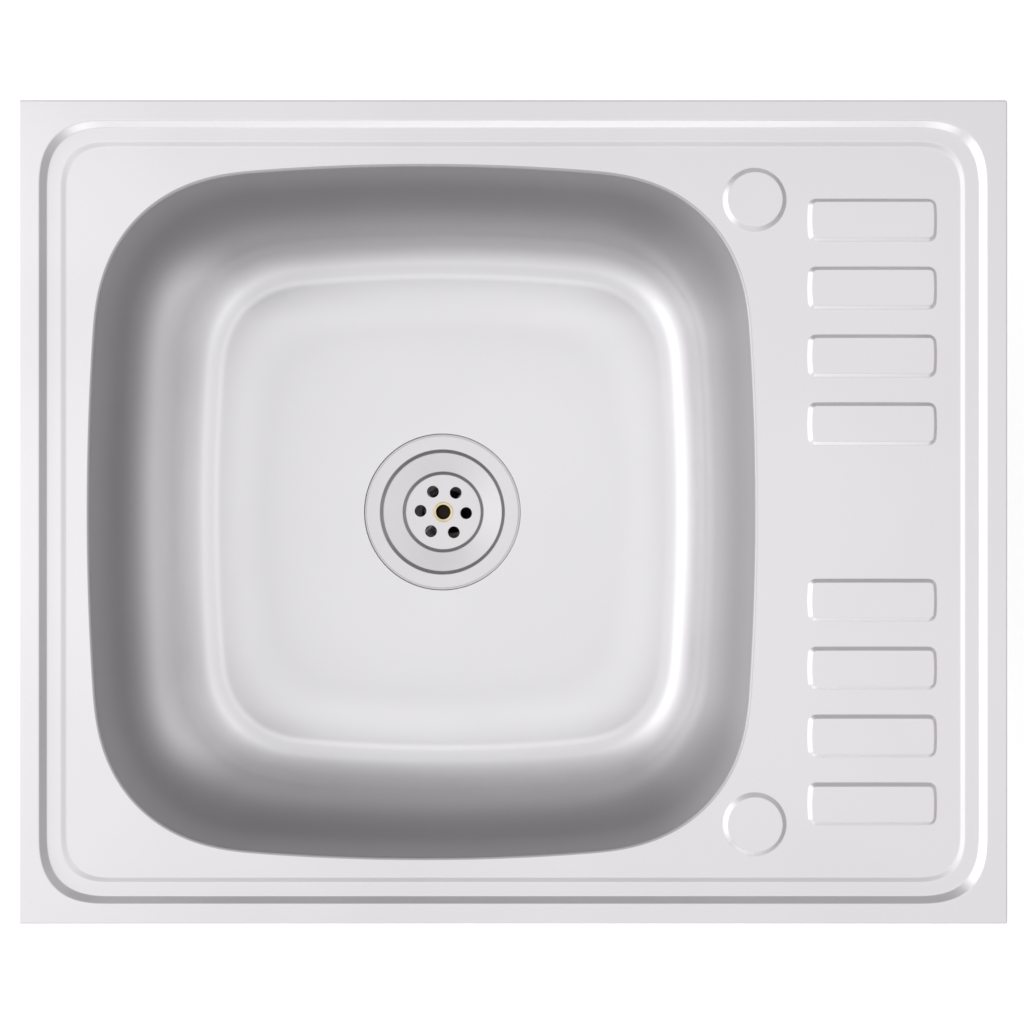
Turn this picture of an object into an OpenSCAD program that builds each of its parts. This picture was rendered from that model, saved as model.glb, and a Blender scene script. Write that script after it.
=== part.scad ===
// Lay-on kitchen sink with one bowl, a ribbed drainer, a strainer waste and a bottle trap.
// Millimetres, +Z up, +X towards the drainer, +Y towards the wall behind the sink.
// The origin is the centre of the footprint, on the cabinet's top edge that carries the skirt.

/* [Deck] */
// Length of the sink along X
sink_l = 600; // [560:1:700]
// Width of the sink along Y
sink_w = 500; // [480:1:560]
// Height of the folded skirt, from the cabinet's edge to the border's top
skirt_h = 34; // [28:0.5:45]
// Thickness of the stainless sheet
sheet_t = 0.8; // [0.6:0.1:1.2]
// Width of the flange that is folded inwards at the skirt's foot
return_w = 14; // [12:0.5:20]
// Width of the flat outer border
border_w = 12.2; // [9:0.1:16]
// Width of the slope between border and terrace
step_run = 3.8; // [3:0.1:7]
// Drop from the border to the terrace
step_drop = 4; // [1:0.1:5]
// Width of the terrace
terrace_w = 7.8; // [5:0.1:10]
// Width of the slope between terrace and deck
lip_run = 3; // [2:0.1:4]
// Drop from the terrace to the deck
lip_drop = 1.5; // [0.4:0.1:2]
// Corner radius at the border's inner edge
rim_r = 33; // [26:0.5:40]

/* [Bowl] */
// Place of the bowl's centre along X
bowl_x = -55.6; // [-60:0.1:-50]
// Length of the bowl's mouth along X
mouth_l = 410.6; // [380:0.2:414]
// Width of the bowl's mouth along Y
mouth_w = 426; // [400:0.5:428]
// Corner radius of the bowl's mouth
mouth_r = 98.3; // [80:0.1:110]
// Fullness of the mouth's corners, where 2 is a circle's arc
corner_power = 2.667; // [2:0.01:3]
// Inward draw of the short sides towards the corners, as a share of the half length
bow_x = 0.057; // [0:0.001:0.08]
// Inward draw of the long sides towards the corners, as a share of the half width
bow_y = 0.067; // [0:0.001:0.08]
// Depth of the bowl from the deck to the floor beside the waste
bowl_depth = 150; // [130:1:180]
// Radius of the bowl's upper edge
edge_r = 1.6; // [1:0.1:4]
// Draft of the walls, in degrees
draft = 3.5; // [2:0.1:6]
// Radius between walls and floor
floor_r = 28; // [20:0.5:36]
// Fall of the floor towards the waste
floor_fall = 2; // [1:0.1:3]
// Thickness of the damping pad under the floor
pad_t = 2.5; // [1.5:0.1:5]

/* [Drainer] */
// Place of the ribs' centre along X
rib_x = 219.6; // [214:0.1:222]
// Length of a rib along X
rib_l = 79.5; // [60:0.1:84]
// Width of a rib along Y
rib_w = 26.7; // [20:0.1:30]
// Corner radius of a rib
rib_r = 5; // [4:0.1:8]
// Number of ribs in each of the two groups
rib_count = 4; // [2:1:4]
// Distance between neighbouring ribs of a group
rib_pitch = 41.5; // [36:0.1:43]
// Distance from the sink's middle line to the first rib's centre
rib_first_y = 53.9; // [30:0.1:56]
// Height of the ribs and tap seats over the deck
emboss_h = 2; // [1:0.1:3]
// Width of a rib's sloping side
rib_run = 2.7; // [1.5:0.1:3.5]
// Place of the two tap seats along X
tap_x = 147.7; // [146:0.1:150]
// Distance of the tap seats from the middle line
tap_y = 190.8; // [189:0.1:196]
// Diameter of a tap seat at the deck
tap_d = 39.6; // [34:0.1:42]
// Width of a tap seat's sloping side
tap_run = 3.4; // [2:0.1:4]
// Width of the stiffening rail beside the drainer
rail_w = 20; // [16:0.5:22]
// Height of the stiffening rail
rail_h = 10; // [6:0.5:14]
// Length of the stiffening rail
rail_l = 320; // [200:1:330]
// Thickness of the stiffening rail
rail_t = 1; // [0.8:0.1:1.5]

/* [Cabinet fixing] */
// Length of a corner plate's legs
plate_leg = 44; // [30:1:60]
// Thickness of a corner plate
plate_t = 1.5; // [1:0.1:3]
// Diameter of a screw hole
screw_hole_d = 5; // [4:0.1:6]
// Distance of a screw hole from the two outer faces of the skirt
screw_inset = 8.5; // [7:0.1:9]

/* [Strainer] */
// Diameter of the strainer's flange
flange_d = 116; // [110:0.5:118]
// Gap round the flange in the floor's recess
flange_gap = 1.6; // [1:0.1:2.5]
// Depth of the floor's recess
recess_h = 2.4; // [2:0.1:3]
// Thickness of the strainer's sheet
strainer_t = 1; // [0.8:0.1:1.2]
// Diameter of the strainer's well at its mouth
well_d = 95.6; // [92:0.1:98]
// Width of the well's upper slope
well_run = 2.6; // [1.5:0.1:4]
// Drop of the well's upper slope
well_drop = 2.5; // [1.5:0.1:4]
// Diameter of the step round the perforated plate
plate_d = 62.4; // [58:0.1:66]
// Fall of the dish from the well to the plate's step
dish_fall = 4; // [2:0.1:6]
// Width of the plate's step
plate_run = 2.5; // [1.5:0.1:3.5]
// Drop of the plate's step
plate_drop = 2.2; // [1:0.1:3]
// Number of drain holes
drain_count = 6; // [4:1:7]
// Diameter of a drain hole
drain_d = 8.9; // [6:0.1:10]
// Diameter of the circle through the drain holes' centres
drain_pcd = 35.3; // [33:0.1:38]
// Turn of the hole pattern, in degrees
drain_turn = -2.8; // [-30:0.1:30]
// Diameter of the clamp screw's head
screw_head_d = 15.2; // [14:0.1:17]
// Diameter of the socket in the clamp screw's head
screw_socket_d = 11.1; // [8:0.1:11.5]
// Diameter of the clamp screw's shank
screw_d = 8; // [6:0.1:9]

/* [Waste body] */
// Height of the waste body from its flange to the end of its outlet
waste_h = 61; // [56:0.5:80]
// Diameter of the waste body's flange
waste_flange_d = 120; // [117:0.5:130]
// Height of the waste body's upright wall, flange included
waste_wall_h = 24; // [22:0.5:30]
// Outer diameter of the waste body's upright wall
waste_d = 106; // [104:0.5:112]
// Thickness of the waste body's wall
waste_t = 3; // [2:0.1:3.5]
// Outer diameter of the threaded outlet
outlet_thread_d = 47.8; // [46:0.1:50]
// Length of the threaded outlet
outlet_thread_l = 18.5; // [16:0.5:24]
// Thickness of the gasket under the strainer's flange
upper_gasket_t = 1.2; // [0.8:0.1:1.3]
// Thickness of the gasket over the waste body's flange
lower_gasket_t = 2; // [1:0.1:4]

/* [Trap] */
// Outer diameter of the trap's pipes
pipe_d = 40; // [38:0.1:41]
// Wall thickness of the trap's pipes
pipe_t = 2; // [1.5:0.1:2.5]
// Length of the inlet pipe, collar included
tail_l = 110; // [105:1:130]
// Travel of the trap up and down from its rest place
trap_travel = 25; // [10:1:25]
// Outer diameter of the compression nuts without their grips
nut_d = 60; // [58:0.5:64]
// Height of a compression nut
nut_h = 20; // [18:0.5:24]
// Outer diameter of the trap's head
head_d = 76; // [74:0.5:84]
// Height of the trap head's drum, from the neck's shoulder to the cup
head_h = 58; // [56:0.5:70]
// Wall thickness of the trap's head and cup
trap_t = 3; // [2.5:0.1:3.5]
// Length of the dip tube below the drum
dip_l = 51; // [40:1:60]
// Height of the cup below its screw collar
cup_h = 77; // [70:1:95]
// Length that the cup moves down while it is unscrewed
cup_travel = 10; // [6:0.5:11]
// Distance from the trap's axis to the end of the outlet port
port_l = 76; // [70:0.5:84]
// Distance from the trap's axis to the outlet pipe's free end
outlet_l = 248; // [220:1:290]
// Length of the outlet pipe's spigot beyond its bead
spigot_l = 40; // [30:1:50]
// Diameter of the wall plate on the outlet pipe
rosette_d = 72; // [60:0.5:90]

/* [Hidden] */
$fn = 96;

// Small values that keep pieces apart or let cuts run out
eps = 1;
seat_gap = 0.3;
fit_gap = 0.05;
glue_gap = 0.15;
thread_gap = 0.3;

// Overlap of the deck's pressed forms with the flat sheet beside them
sheet_lap = 0.2;

// Heights of the deck
rim_z = skirt_h;
terrace_z = rim_z - step_drop;
deck_z = terrace_z - lip_drop;
under_z = deck_z - sheet_t;
emboss_z = deck_z + emboss_h;
rim_run = step_run + terrace_w + lip_run;
rim_l = sink_l - 2 * border_w;
rim_w = sink_w - 2 * border_w;
rail_offset = 1.5;
rail_foot = 4;

// The bowl's profile, as an inset from the mouth and a height
wall_floor_z = deck_z - bowl_depth + floor_fall;
waste_floor_z = deck_z - bowl_depth;
arc_z = wall_floor_z + floor_r;
wall_top_z = deck_z - edge_r * (1 - sin(draft));
wall_drop = wall_top_z - (arc_z - floor_r * sin(draft));
wall_inset = edge_r * cos(draft);
arc_inset = wall_inset + wall_drop * tan(draft) + floor_r * cos(draft);
recess_d = flange_d + 2 * flange_gap;
flat_w = 6;
last_fall_w = 8;
last_fall = 0.2;
flat_floor_r = recess_d / 2 + flat_w;
fall_end_r = flat_floor_r + last_fall_w;
mouth_steps = 11;
side_steps = 5;
edge_steps = 3;
arc_steps = 7;
pad_near = 0.92;
pad_far = 0.12;

// Heights of the waste, from the floor down
hole_gap = 0.7;
ledge_z = waste_floor_z - recess_h;
ledge_under_z = ledge_z - sheet_t;
flange_z = ledge_z + upper_gasket_t + strainer_t;
well_z = flange_z - well_drop;
dish_z = well_z - dish_fall;
plate_z = dish_z - plate_drop;
floor_hole_r = well_d / 2 + hole_gap;
gasket_inset = 1;
waste_top_z = ledge_under_z - lower_gasket_t;
waste_flange_t = 3.5;
waste_inner_r = waste_d / 2 - waste_t;
waste_slope_t = 1.5;
waste_neck_t = 2.6;
thread_h = 0.4;
wall_foot_z = waste_top_z - waste_wall_h;
waste_end_z = waste_top_z - waste_h;
thread_top_z = waste_end_z + outlet_thread_l;
outlet_thread_r = outlet_thread_d / 2;
waste_bore_r = outlet_thread_r - waste_t - thread_h;
spoke_t = 2.5;
spoke_h = 6;
spoke_lift = 0.7;
spoke_top_z = wall_foot_z + spoke_lift + spoke_h;
hub_r = 9;
hub_h = 22;
insert_r = 6.5;
insert_h = 12;
head_rim = 0.7;
head_t = 1;
barrel_r = screw_head_d / 2 - head_rim;
barrel_gap = 1;
barrel_floor_t = 2.5;
shank_l = 16;

// Heights of the union between waste and trap
tail_gasket_t = 2;
collar_t = 3;
collar_r = outlet_thread_r - seat_gap;
pipe_r = pipe_d / 2;
bore_r = pipe_r - pipe_t;
lip_t = 3.5;
union_free = 2;
union_nut_r = nut_d / 2 - 1;
tail_top_z = waste_end_z - tail_gasket_t;
union_foot_z = tail_top_z - collar_t - lip_t;
union_top_z = thread_top_z - union_free;
grip_count = 12;
grip_r = 2.2;
grip_sides = 24;

// Heights of the trap
slide_r = pipe_r + seat_gap;
nut_wall = 4;
nut_free = 8.5;
nut_lip_t = 3;
neck_r = nut_d / 2 - nut_wall;
neck_edge = 1.4;
neck_free = 6;
cone_l = 8;
cone_r = neck_r - neck_edge;
washer_band = 4.4;
washer_gap = 0.4;
washer_tip = 0.9;
washer_tip_l = cone_l - 1;
nut_top_z = union_foot_z - trap_travel - nut_free;
neck_top_z = nut_top_z - nut_lip_t - washer_band - 2 * seat_gap;
neck_l = nut_h - nut_lip_t - washer_band + neck_free;
drum_r = head_d / 2;
drum_wall_r = drum_r - trap_t;
drum_top_z = neck_top_z - neck_l;
drum_top_t = trap_t + 1;
shoulder_w = 1;
shoulder_h = 4;
drum_foot_h = 4;
drum_end_z = drum_top_z - head_h;
port_offset = 1;
port_z = drum_top_z - head_h / 2 - port_offset;
dip_t = 2.5;
dip_r = slide_r + dip_t;
dip_end_z = drum_end_z - dip_l;
port_start = dip_r + 2.4;
port_nut_end = port_l + 2 * seat_gap + washer_band + nut_lip_t;
cup_thread_free = 2;
cup_thread_h = 1.5;
cup_thread_l = cup_travel + cup_thread_free;
cup_thread_r = drum_r - cup_thread_h;
thread_end_z = drum_end_z - cup_thread_l;
cup_gasket_t = 1.5;
cup_ledge_w = 1.3;
cup_shelf_z = thread_end_z - cup_gasket_t - 2 * seat_gap;
cup_bore_r = cup_thread_r + thread_gap;
cup_inner_r = cup_thread_r - cup_ledge_w;
cup_outer_r = cup_inner_r + trap_t;
cup_collar_t = trap_t + 2;
cup_collar_r = cup_bore_r + cup_collar_t;
cup_collar_foot = 1;
cup_flare = 4;
cup_taper = 1;
cup_dome = 6;
cup_end_z = cup_shelf_z - cup_h;
outlet_start = 44;
bead_y = outlet_l - spigot_l;
bead_w = 1.5;
bead_h = 0.6;
rosette_h = 8.5;
rosette_t = 2.2;
rosette_hub = 3;
rosette_rim = 3;

steel = [0.83, 0.83, 0.84];
bright_steel = [0.88, 0.88, 0.89];
brass = [0.80, 0.66, 0.38];
rubber = [0.10, 0.10, 0.11];
plastic = [0.93, 0.93, 0.92];
damping = [0.30, 0.31, 0.33];
zinc = [0.66, 0.68, 0.70];

// A rectangle with round corners
module round_rect(l, w, r) {
    square([l, w - 2 * r], center = true);
    square([l - 2 * r, w], center = true);
    for (sx = [-1, 1], sy = [-1, 1])
        translate([sx * (l / 2 - r), sy * (w / 2 - r)]) circle(r = r);
}

// Sweeps a profile along a rectangle with round corners.
// The profile lies right of the Y axis, which runs through the corner's centre.
module sweep_rect(l, w, r, profile) {
    for (side = [0, 180])
        rotate(side) translate([l / 2 - r, 0]) rotate([90, 0, 0])
            linear_extrude(w - 2 * r, center = true) polygon(profile);
    for (side = [90, 270])
        rotate(side) translate([w / 2 - r, 0]) rotate([90, 0, 0])
            linear_extrude(l - 2 * r, center = true) polygon(profile);
    for (sx = [0, 1], sy = [0, 1]) {
        turn = sx == sy ? 180 * sx : 90 + 180 * sy;
        translate([(1 - 2 * sx) * (l / 2 - r), (1 - 2 * sy) * (w / 2 - r)])
            rotate(turn) rotate_extrude(angle = 90) polygon(profile);
    }
}

// One corner of an outline, eased like a superellipse, from angle 0 to 90
function corner_point(r, angle) =
    [r * pow(cos(angle), 2 / corner_power), r * pow(sin(angle), 2 / corner_power)];

// Quarter of the outline, from the middle of the +X side to the middle of the +Y side
function quarter(a, b, r) = concat(
    [for (i = [0 : side_steps - 1]) [a, (b - r) * i / side_steps]],
    [for (i = [0 : mouth_steps]) corner_point(r, 90 * i / mouth_steps) + [a - r, b - r]],
    [for (i = [side_steps - 1 : -1 : 1]) [(a - r) * i / side_steps, b]]
);

// The corners' points are the ones that the sides bow away from
function bowed(p, a, b) = [
    p[0] * (1 - bow_x * pow(p[1] / b, 2)),
    p[1] * (1 - bow_y * pow(p[0] / a, 2))
];

function reversed(list) = [for (i = [len(list) - 1 : -1 : 0]) list[i]];

// The bowl's outline at an inset from its mouth, counted anticlockwise
function outline(inset) =
    let (a = mouth_l / 2 - inset, b = mouth_w / 2 - inset, r = mouth_r - inset,
         q = [for (p = quarter(a, b, r)) bowed(p, a, b)],
         top = bowed([0, b], a, b),
         half = concat(q, [top], [for (p = reversed(q)) if (p[1] > 0) [-p[0], p[1]]]),
         low = [for (p = reversed(half)) if (p[1] > 0) [p[0], -p[1]]])
    concat(half, [[-a, 0]], low);

// Rings of the bowl's inner surface, or of the surface that lies a skin below it
function edge_rings(skin) = [for (i = [0 : edge_steps])
    let (t = i / edge_steps * (90 - draft), r = edge_r - skin)
    ring3(outline(r * sin(t)), deck_z - edge_r + r * cos(t))];
function arc_rings(skin) = [for (i = [0 : arc_steps])
    let (t = draft + i / arc_steps * (90 - draft), r = floor_r + skin)
    ring3(outline(arc_inset - r * cos(t)), arc_z - r * sin(t))];
function ring3(points, z) = [for (p = points) [p[0], p[1], z]];

// A floor ring that runs over from the outline to a circle as share goes from 0 to 1
function floor_ring(share, skin) =
    let (z = wall_floor_z - skin - share * (floor_fall - last_fall))
    [for (p = outline(arc_inset)) let (u = p / norm(p), q = p * (1 - share) + u * fall_end_r * share)
        [q[0], q[1], z]];
function circle_ring(r, z) = [for (p = outline(arc_inset)) let (u = p / norm(p)) [u[0] * r, u[1] * r, z]];

function bowl_rings(skin) = concat(
    edge_rings(skin), arc_rings(skin),
    [floor_ring(0.5, skin), floor_ring(1, skin), circle_ring(flat_floor_r, waste_floor_z - skin)]
);

// Triangles between the rings of n points that start at indexes a and b, a above b.
// They face the ring's middle; turned round, they face away from it.
function band(a, b, n) = [for (i = [0 : n - 1]) each
    [[a + i, b + (i + 1) % n, a + (i + 1) % n], [a + i, b + i, b + (i + 1) % n]]];
function turned(faces) = [for (f = faces) [f[2], f[1], f[0]]];
function fan(start, n, tip) = [for (i = [0 : n - 1]) [start + (i + 1) % n, start + i, tip]];

// A closed skin between an inner and an outer stack of rings that meet at the mouth
module ring_shell(inner, outer) {
    n = len(inner[0]);
    m = len(inner);
    points = concat([for (r = inner) each r], [for (r = outer) each r],
        [[0, 0, inner[m - 1][0][2]], [0, 0, outer[m - 1][0][2]]]);
    base = m * n;
    inside = [for (k = [0 : m - 2]) each band(k * n, (k + 1) * n, n)];
    outside = [for (k = [0 : m - 2]) each turned(band(base + k * n, base + (k + 1) * n, n))];
    lip = band(base, 0, n);
    top_fan = fan((m - 1) * n, n, 2 * base);
    low_fan = turned(fan(base + (m - 1) * n, n, 2 * base + 1));
    polyhedron(points, concat(inside, outside, lip, top_fan, low_fan));
}

// A closed ring with four edges, for the pad that follows the floor
module ring_slab(rings) {
    n = len(rings[0]);
    points = [for (r = rings) each r];
    faces = [for (k = [0 : 3]) each band(k * n, ((k + 1) % 4) * n, n)];
    polyhedron(points, faces);
}

// Raised rib of the drainer, hollow below
module deck_rib() {
    top_r = rib_r - rib_run;
    sweep_rect(rib_l, rib_w, rib_r, [
        [rib_r + sheet_lap, deck_z], [rib_r, deck_z],
        [top_r, emboss_z], [top_r - sheet_lap, emboss_z],
        [top_r - sheet_lap, emboss_z - sheet_t], [top_r, emboss_z - sheet_t],
        [rib_r, under_z], [rib_r + sheet_lap, under_z]
    ]);
    translate([0, 0, emboss_z - sheet_t]) linear_extrude(sheet_t)
        round_rect(rib_l - 2 * rib_run, rib_w - 2 * rib_run, top_r);
}

// Blank raised seat for a tap
module tap_seat() {
    rotate_extrude() polygon([
        [0, emboss_z], [tap_d / 2 - tap_run, emboss_z], [tap_d / 2, deck_z],
        [tap_d / 2 + sheet_lap, deck_z], [tap_d / 2 + sheet_lap, under_z], [tap_d / 2, under_z],
        [tap_d / 2 - tap_run, emboss_z - sheet_t], [0, emboss_z - sheet_t]
    ]);
}

module rib_places() {
    for (side = [-1, 1], i = [0 : rib_count - 1])
        translate([rib_x, side * (rib_first_y + i * rib_pitch)]) children();
}

module seat_places() {
    for (side = [-1, 1]) translate([tap_x, side * tap_y]) children();
}

module screw_holes() {
    for (sx = [-1, 1], sy = [-1, 1])
        translate([sx * (sink_l / 2 - screw_inset), sy * (sink_w / 2 - screw_inset), -eps])
            cylinder(d = screw_hole_d, h = sheet_t + plate_t + 2 * eps);
}

// Pressed deck with border, two steps, ribs, tap seats, skirt and return flange
module deck_panel() {
    foot_r = rim_r - rim_run;
    rim_profile = [
        [rim_r, rim_z], [rim_r + sheet_lap, rim_z],
        [rim_r + sheet_lap, rim_z - sheet_t], [rim_r, rim_z - sheet_t],
        [rim_r - step_run, terrace_z - sheet_t],
        [rim_r - step_run - terrace_w, terrace_z - sheet_t],
        [foot_r, under_z], [foot_r - sheet_lap, under_z],
        [foot_r - sheet_lap, deck_z], [foot_r, deck_z],
        [rim_r - step_run - terrace_w, terrace_z], [rim_r - step_run, terrace_z]
    ];
    color(steel) {
        difference() {
            union() {
                translate([0, 0, rim_z - sheet_t]) linear_extrude(sheet_t) difference() {
                    square([sink_l, sink_w], center = true);
                    round_rect(rim_l, rim_w, rim_r);
                }
                linear_extrude(rim_z - sheet_t / 2) difference() {
                    square([sink_l, sink_w], center = true);
                    square([sink_l - 2 * sheet_t, sink_w - 2 * sheet_t], center = true);
                }
                linear_extrude(sheet_t) difference() {
                    square([sink_l, sink_w], center = true);
                    square([sink_l - 2 * return_w, sink_w - 2 * return_w], center = true);
                }
                sweep_rect(rim_l, rim_w, rim_r, rim_profile);
                translate([0, 0, under_z]) linear_extrude(sheet_t) difference() {
                    round_rect(rim_l - 2 * rim_run, rim_w - 2 * rim_run, rim_r - rim_run);
                    translate([bowl_x, 0]) polygon(outline(0));
                    rib_places() round_rect(rib_l, rib_w, rib_r);
                    seat_places() circle(d = tap_d);
                }
                rib_places() deck_rib();
                seat_places() tap_seat();
            }
            screw_holes();
        }
    }
}

// Drawn bowl with a rolled edge, drafted walls and a recess for the strainer
module bowl() {
    color(steel) translate([bowl_x, 0, 0]) difference() {
        union() {
            ring_shell(bowl_rings(0), bowl_rings(sheet_t));
            translate([0, 0, ledge_under_z])
                cylinder(d = recess_d + 2 * sheet_t, h = waste_floor_z - sheet_t / 2 - ledge_under_z);
        }
        translate([0, 0, ledge_z]) cylinder(d = recess_d, h = recess_h + eps);
        translate([0, 0, ledge_under_z - eps]) cylinder(r = floor_hole_r, h = recess_h + sheet_t + 2 * eps);
    }
}

// Damping pad glued under the floor, clear of the radius and of the waste
module sound_pad() {
    top = sheet_t + glue_gap;
    foot = top + pad_t;
    color(damping) translate([bowl_x, 0, 0]) ring_slab([
        floor_ring(pad_far, top), floor_ring(pad_near, top),
        floor_ring(pad_near, foot), floor_ring(pad_far, foot)
    ]);
}

// Hat-shaped rail spot-welded under the deck between bowl and drainer
module deck_stiffener() {
    rail_x = (bowl_x + mouth_l / 2 + rib_x - rib_l / 2) / 2 + rail_offset;
    edge = rail_w / 2;
    web = edge - rail_foot;
    half = [[web - rail_t, 0], [web - rail_t, rail_t - rail_h]];
    profile = concat(
        [[-edge, 0], [-edge, -rail_t], [-web, -rail_t], [-web, -rail_h]],
        [[web, -rail_h], [web, -rail_t], [edge, -rail_t], [edge, 0]],
        half, [for (p = reversed(half)) [-p[0], p[1]]]
    );
    color(zinc) translate([rail_x, 0, under_z]) rotate([90, 0, 0])
        linear_extrude(rail_l, center = true) polygon(profile);
}

// Four plates that stiffen the flange's corners and take the cabinet screws
module corner_plates() {
    edge = sheet_t + seat_gap;
    color(zinc) difference() {
        for (sx = [0, 1], sy = [0, 1]) mirror([sx, 0, 0]) mirror([0, sy, 0])
            translate([sink_l / 2 - edge, sink_w / 2 - edge, sheet_t]) linear_extrude(plate_t)
                polygon([[0, 0], [-plate_leg, 0], [-plate_leg, -return_w + edge],
                         [-return_w + edge, -plate_leg], [0, -plate_leg]]);
        screw_holes();
    }
}

// Pressed strainer with its flange, its dish and the perforated plate
module strainer_dish() {
    color(bright_steel) translate([bowl_x, 0, 0]) difference() {
        rotate_extrude() polygon([
            [flange_d / 2, flange_z], [flange_d / 2, flange_z - strainer_t],
            [well_d / 2, flange_z - strainer_t], [well_d / 2 - well_run, well_z - strainer_t],
            [plate_d / 2, dish_z - strainer_t], [plate_d / 2 - plate_run, plate_z - strainer_t],
            [0, plate_z - strainer_t], [0, plate_z], [plate_d / 2 - plate_run, plate_z],
            [plate_d / 2, dish_z], [well_d / 2 - well_run, well_z], [well_d / 2, flange_z]
        ]);
        for (i = [0 : drain_count - 1])
            rotate(drain_turn + i * 360 / drain_count)
                translate([drain_pcd / 2, 0, plate_z - strainer_t - eps])
                cylinder(d = drain_d, h = strainer_t + 2 * eps);
        translate([0, 0, plate_z - strainer_t - eps])
            cylinder(r = barrel_r + seat_gap, h = strainer_t + 2 * eps);
    }
}

module flat_ring(outer_r, inner_r, low_z, high_z) {
    translate([0, 0, low_z]) difference() {
        cylinder(r = outer_r, h = high_z - low_z);
        translate([0, 0, -eps]) cylinder(r = inner_r, h = high_z - low_z + 2 * eps);
    }
}

module flange_gasket() {
    color(rubber) translate([bowl_x, 0, 0])
        flat_ring(flange_d / 2 - gasket_inset, floor_hole_r + gasket_inset, ledge_z,
                  ledge_z + upper_gasket_t);
}

module lower_gasket() {
    color(rubber) translate([bowl_x, 0, 0])
        flat_ring(flange_d / 2 - gasket_inset, waste_inner_r + gasket_inset, waste_top_z,
                  ledge_under_z);
}

// Moulded cup under the strainer, with a hub for the clamp screw and a threaded outlet
module waste_body() {
    color(plastic) translate([bowl_x, 0, 0]) difference() {
        union() {
            rotate_extrude() polygon([
                [waste_flange_d / 2, waste_top_z], [waste_flange_d / 2, waste_top_z - waste_flange_t],
                [waste_d / 2, waste_top_z - waste_flange_t], [waste_d / 2, wall_foot_z],
                [outlet_thread_r + waste_neck_t, thread_top_z], [outlet_thread_r, thread_top_z],
                [outlet_thread_r, waste_end_z], [waste_bore_r, waste_end_z],
                [waste_bore_r, thread_top_z + waste_slope_t],
                [waste_inner_r, wall_foot_z + waste_slope_t], [waste_inner_r, waste_top_z]
            ]);
            for (turn = [45, 135]) rotate(turn)
                translate([-waste_inner_r - eps, -spoke_t / 2, spoke_top_z - spoke_h])
                    cube([2 * (waste_inner_r + eps), spoke_t, spoke_h]);
            translate([0, 0, spoke_top_z - hub_h]) cylinder(r = hub_r, h = hub_h);
        }
        translate([0, 0, spoke_top_z - insert_h]) cylinder(r = insert_r + fit_gap, h = insert_h + eps);
        translate([0, 0, spoke_top_z - hub_h - eps])
            cylinder(d = screw_d + 2 * seat_gap, h = hub_h + eps);
    }
}

// Threaded bush in the hub
module screw_insert() {
    color(brass) translate([bowl_x, 0, 0])
        flat_ring(insert_r, screw_d / 2 + fit_gap, spoke_top_z - insert_h, spoke_top_z);
}

// Hollow-headed screw that draws strainer and waste body together
module clamp_screw() {
    socket_foot_z = spoke_top_z + barrel_gap + barrel_floor_t;
    color(brass) translate([bowl_x, 0, 0]) difference() {
        union() {
            translate([0, 0, plate_z]) cylinder(r = screw_head_d / 2, h = head_t);
            translate([0, 0, spoke_top_z + barrel_gap])
                cylinder(r = barrel_r, h = plate_z - spoke_top_z - barrel_gap + head_t / 2);
            translate([0, 0, spoke_top_z - shank_l])
                cylinder(d = screw_d, h = shank_l + barrel_gap + barrel_floor_t / 2);
        }
        translate([0, 0, socket_foot_z])
            cylinder(d = screw_socket_d, h = plate_z - socket_foot_z + head_t + eps);
    }
}

// Round nut with upright grips, closed by a lip at its upper end
module grip_nut(height, thread_r, lip_h, lip_bore_r, outer_r) {
    difference() {
        union() {
            cylinder(r = outer_r, h = height);
            for (i = [0 : grip_count - 1])
                rotate(i * 360 / grip_count) translate([outer_r, 0, 0])
                    cylinder(r = grip_r, h = height, $fn = grip_sides);
        }
        translate([0, 0, -eps]) cylinder(r = thread_r, h = height - lip_h + eps);
        translate([0, 0, -eps]) cylinder(r = lip_bore_r, h = height + 2 * eps);
    }
}

// Tapered sealing ring with a flat band, its thin end down
module cone_washer() {
    rotate_extrude() polygon([
        [pipe_r + fit_gap, 0], [cone_r - washer_gap, 0], [cone_r - washer_gap, -washer_band],
        [pipe_r + washer_tip, -washer_band - washer_tip_l],
        [pipe_r + fit_gap, -washer_band - washer_tip_l]
    ]);
}

module union_nut() {
    color(plastic) translate([bowl_x, 0, union_top_z]) mirror([0, 0, 1])
        grip_nut(union_top_z - union_foot_z, outlet_thread_r + thread_gap, lip_t, slide_r, union_nut_r);
}

module tail_gasket() {
    color(rubber) translate([bowl_x, 0, 0]) flat_ring(collar_r, waste_bore_r, tail_top_z, waste_end_z);
}

// Inlet pipe with a collar that the union nut pulls up
module inlet_pipe() {
    color(plastic) translate([bowl_x, 0, 0]) difference() {
        union() {
            translate([0, 0, tail_top_z - collar_t]) cylinder(r = collar_r, h = collar_t);
            translate([0, 0, tail_top_z - tail_l]) cylinder(r = pipe_r, h = tail_l - collar_t / 2);
        }
        translate([0, 0, tail_top_z - tail_l - eps]) cylinder(r = bore_r, h = tail_l + 2 * eps);
    }
}

module head_nut() {
    color(plastic) translate([bowl_x, 0, nut_top_z - nut_h])
        grip_nut(nut_h, neck_r + thread_gap, nut_lip_t, slide_r, nut_d / 2);
}

module head_washer() {
    color(rubber) translate([bowl_x, 0, nut_top_z - nut_lip_t - seat_gap]) cone_washer();
}

// Bore with a tapered mouth, its mouth at the origin and its length down
module neck_bore(length) {
    translate([0, 0, -length]) cylinder(r = slide_r, h = length + eps);
    rotate_extrude() polygon([
        [0, eps], [cone_r, eps], [cone_r, 0], [slide_r, -cone_l], [0, -cone_l]
    ]);
}

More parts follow.
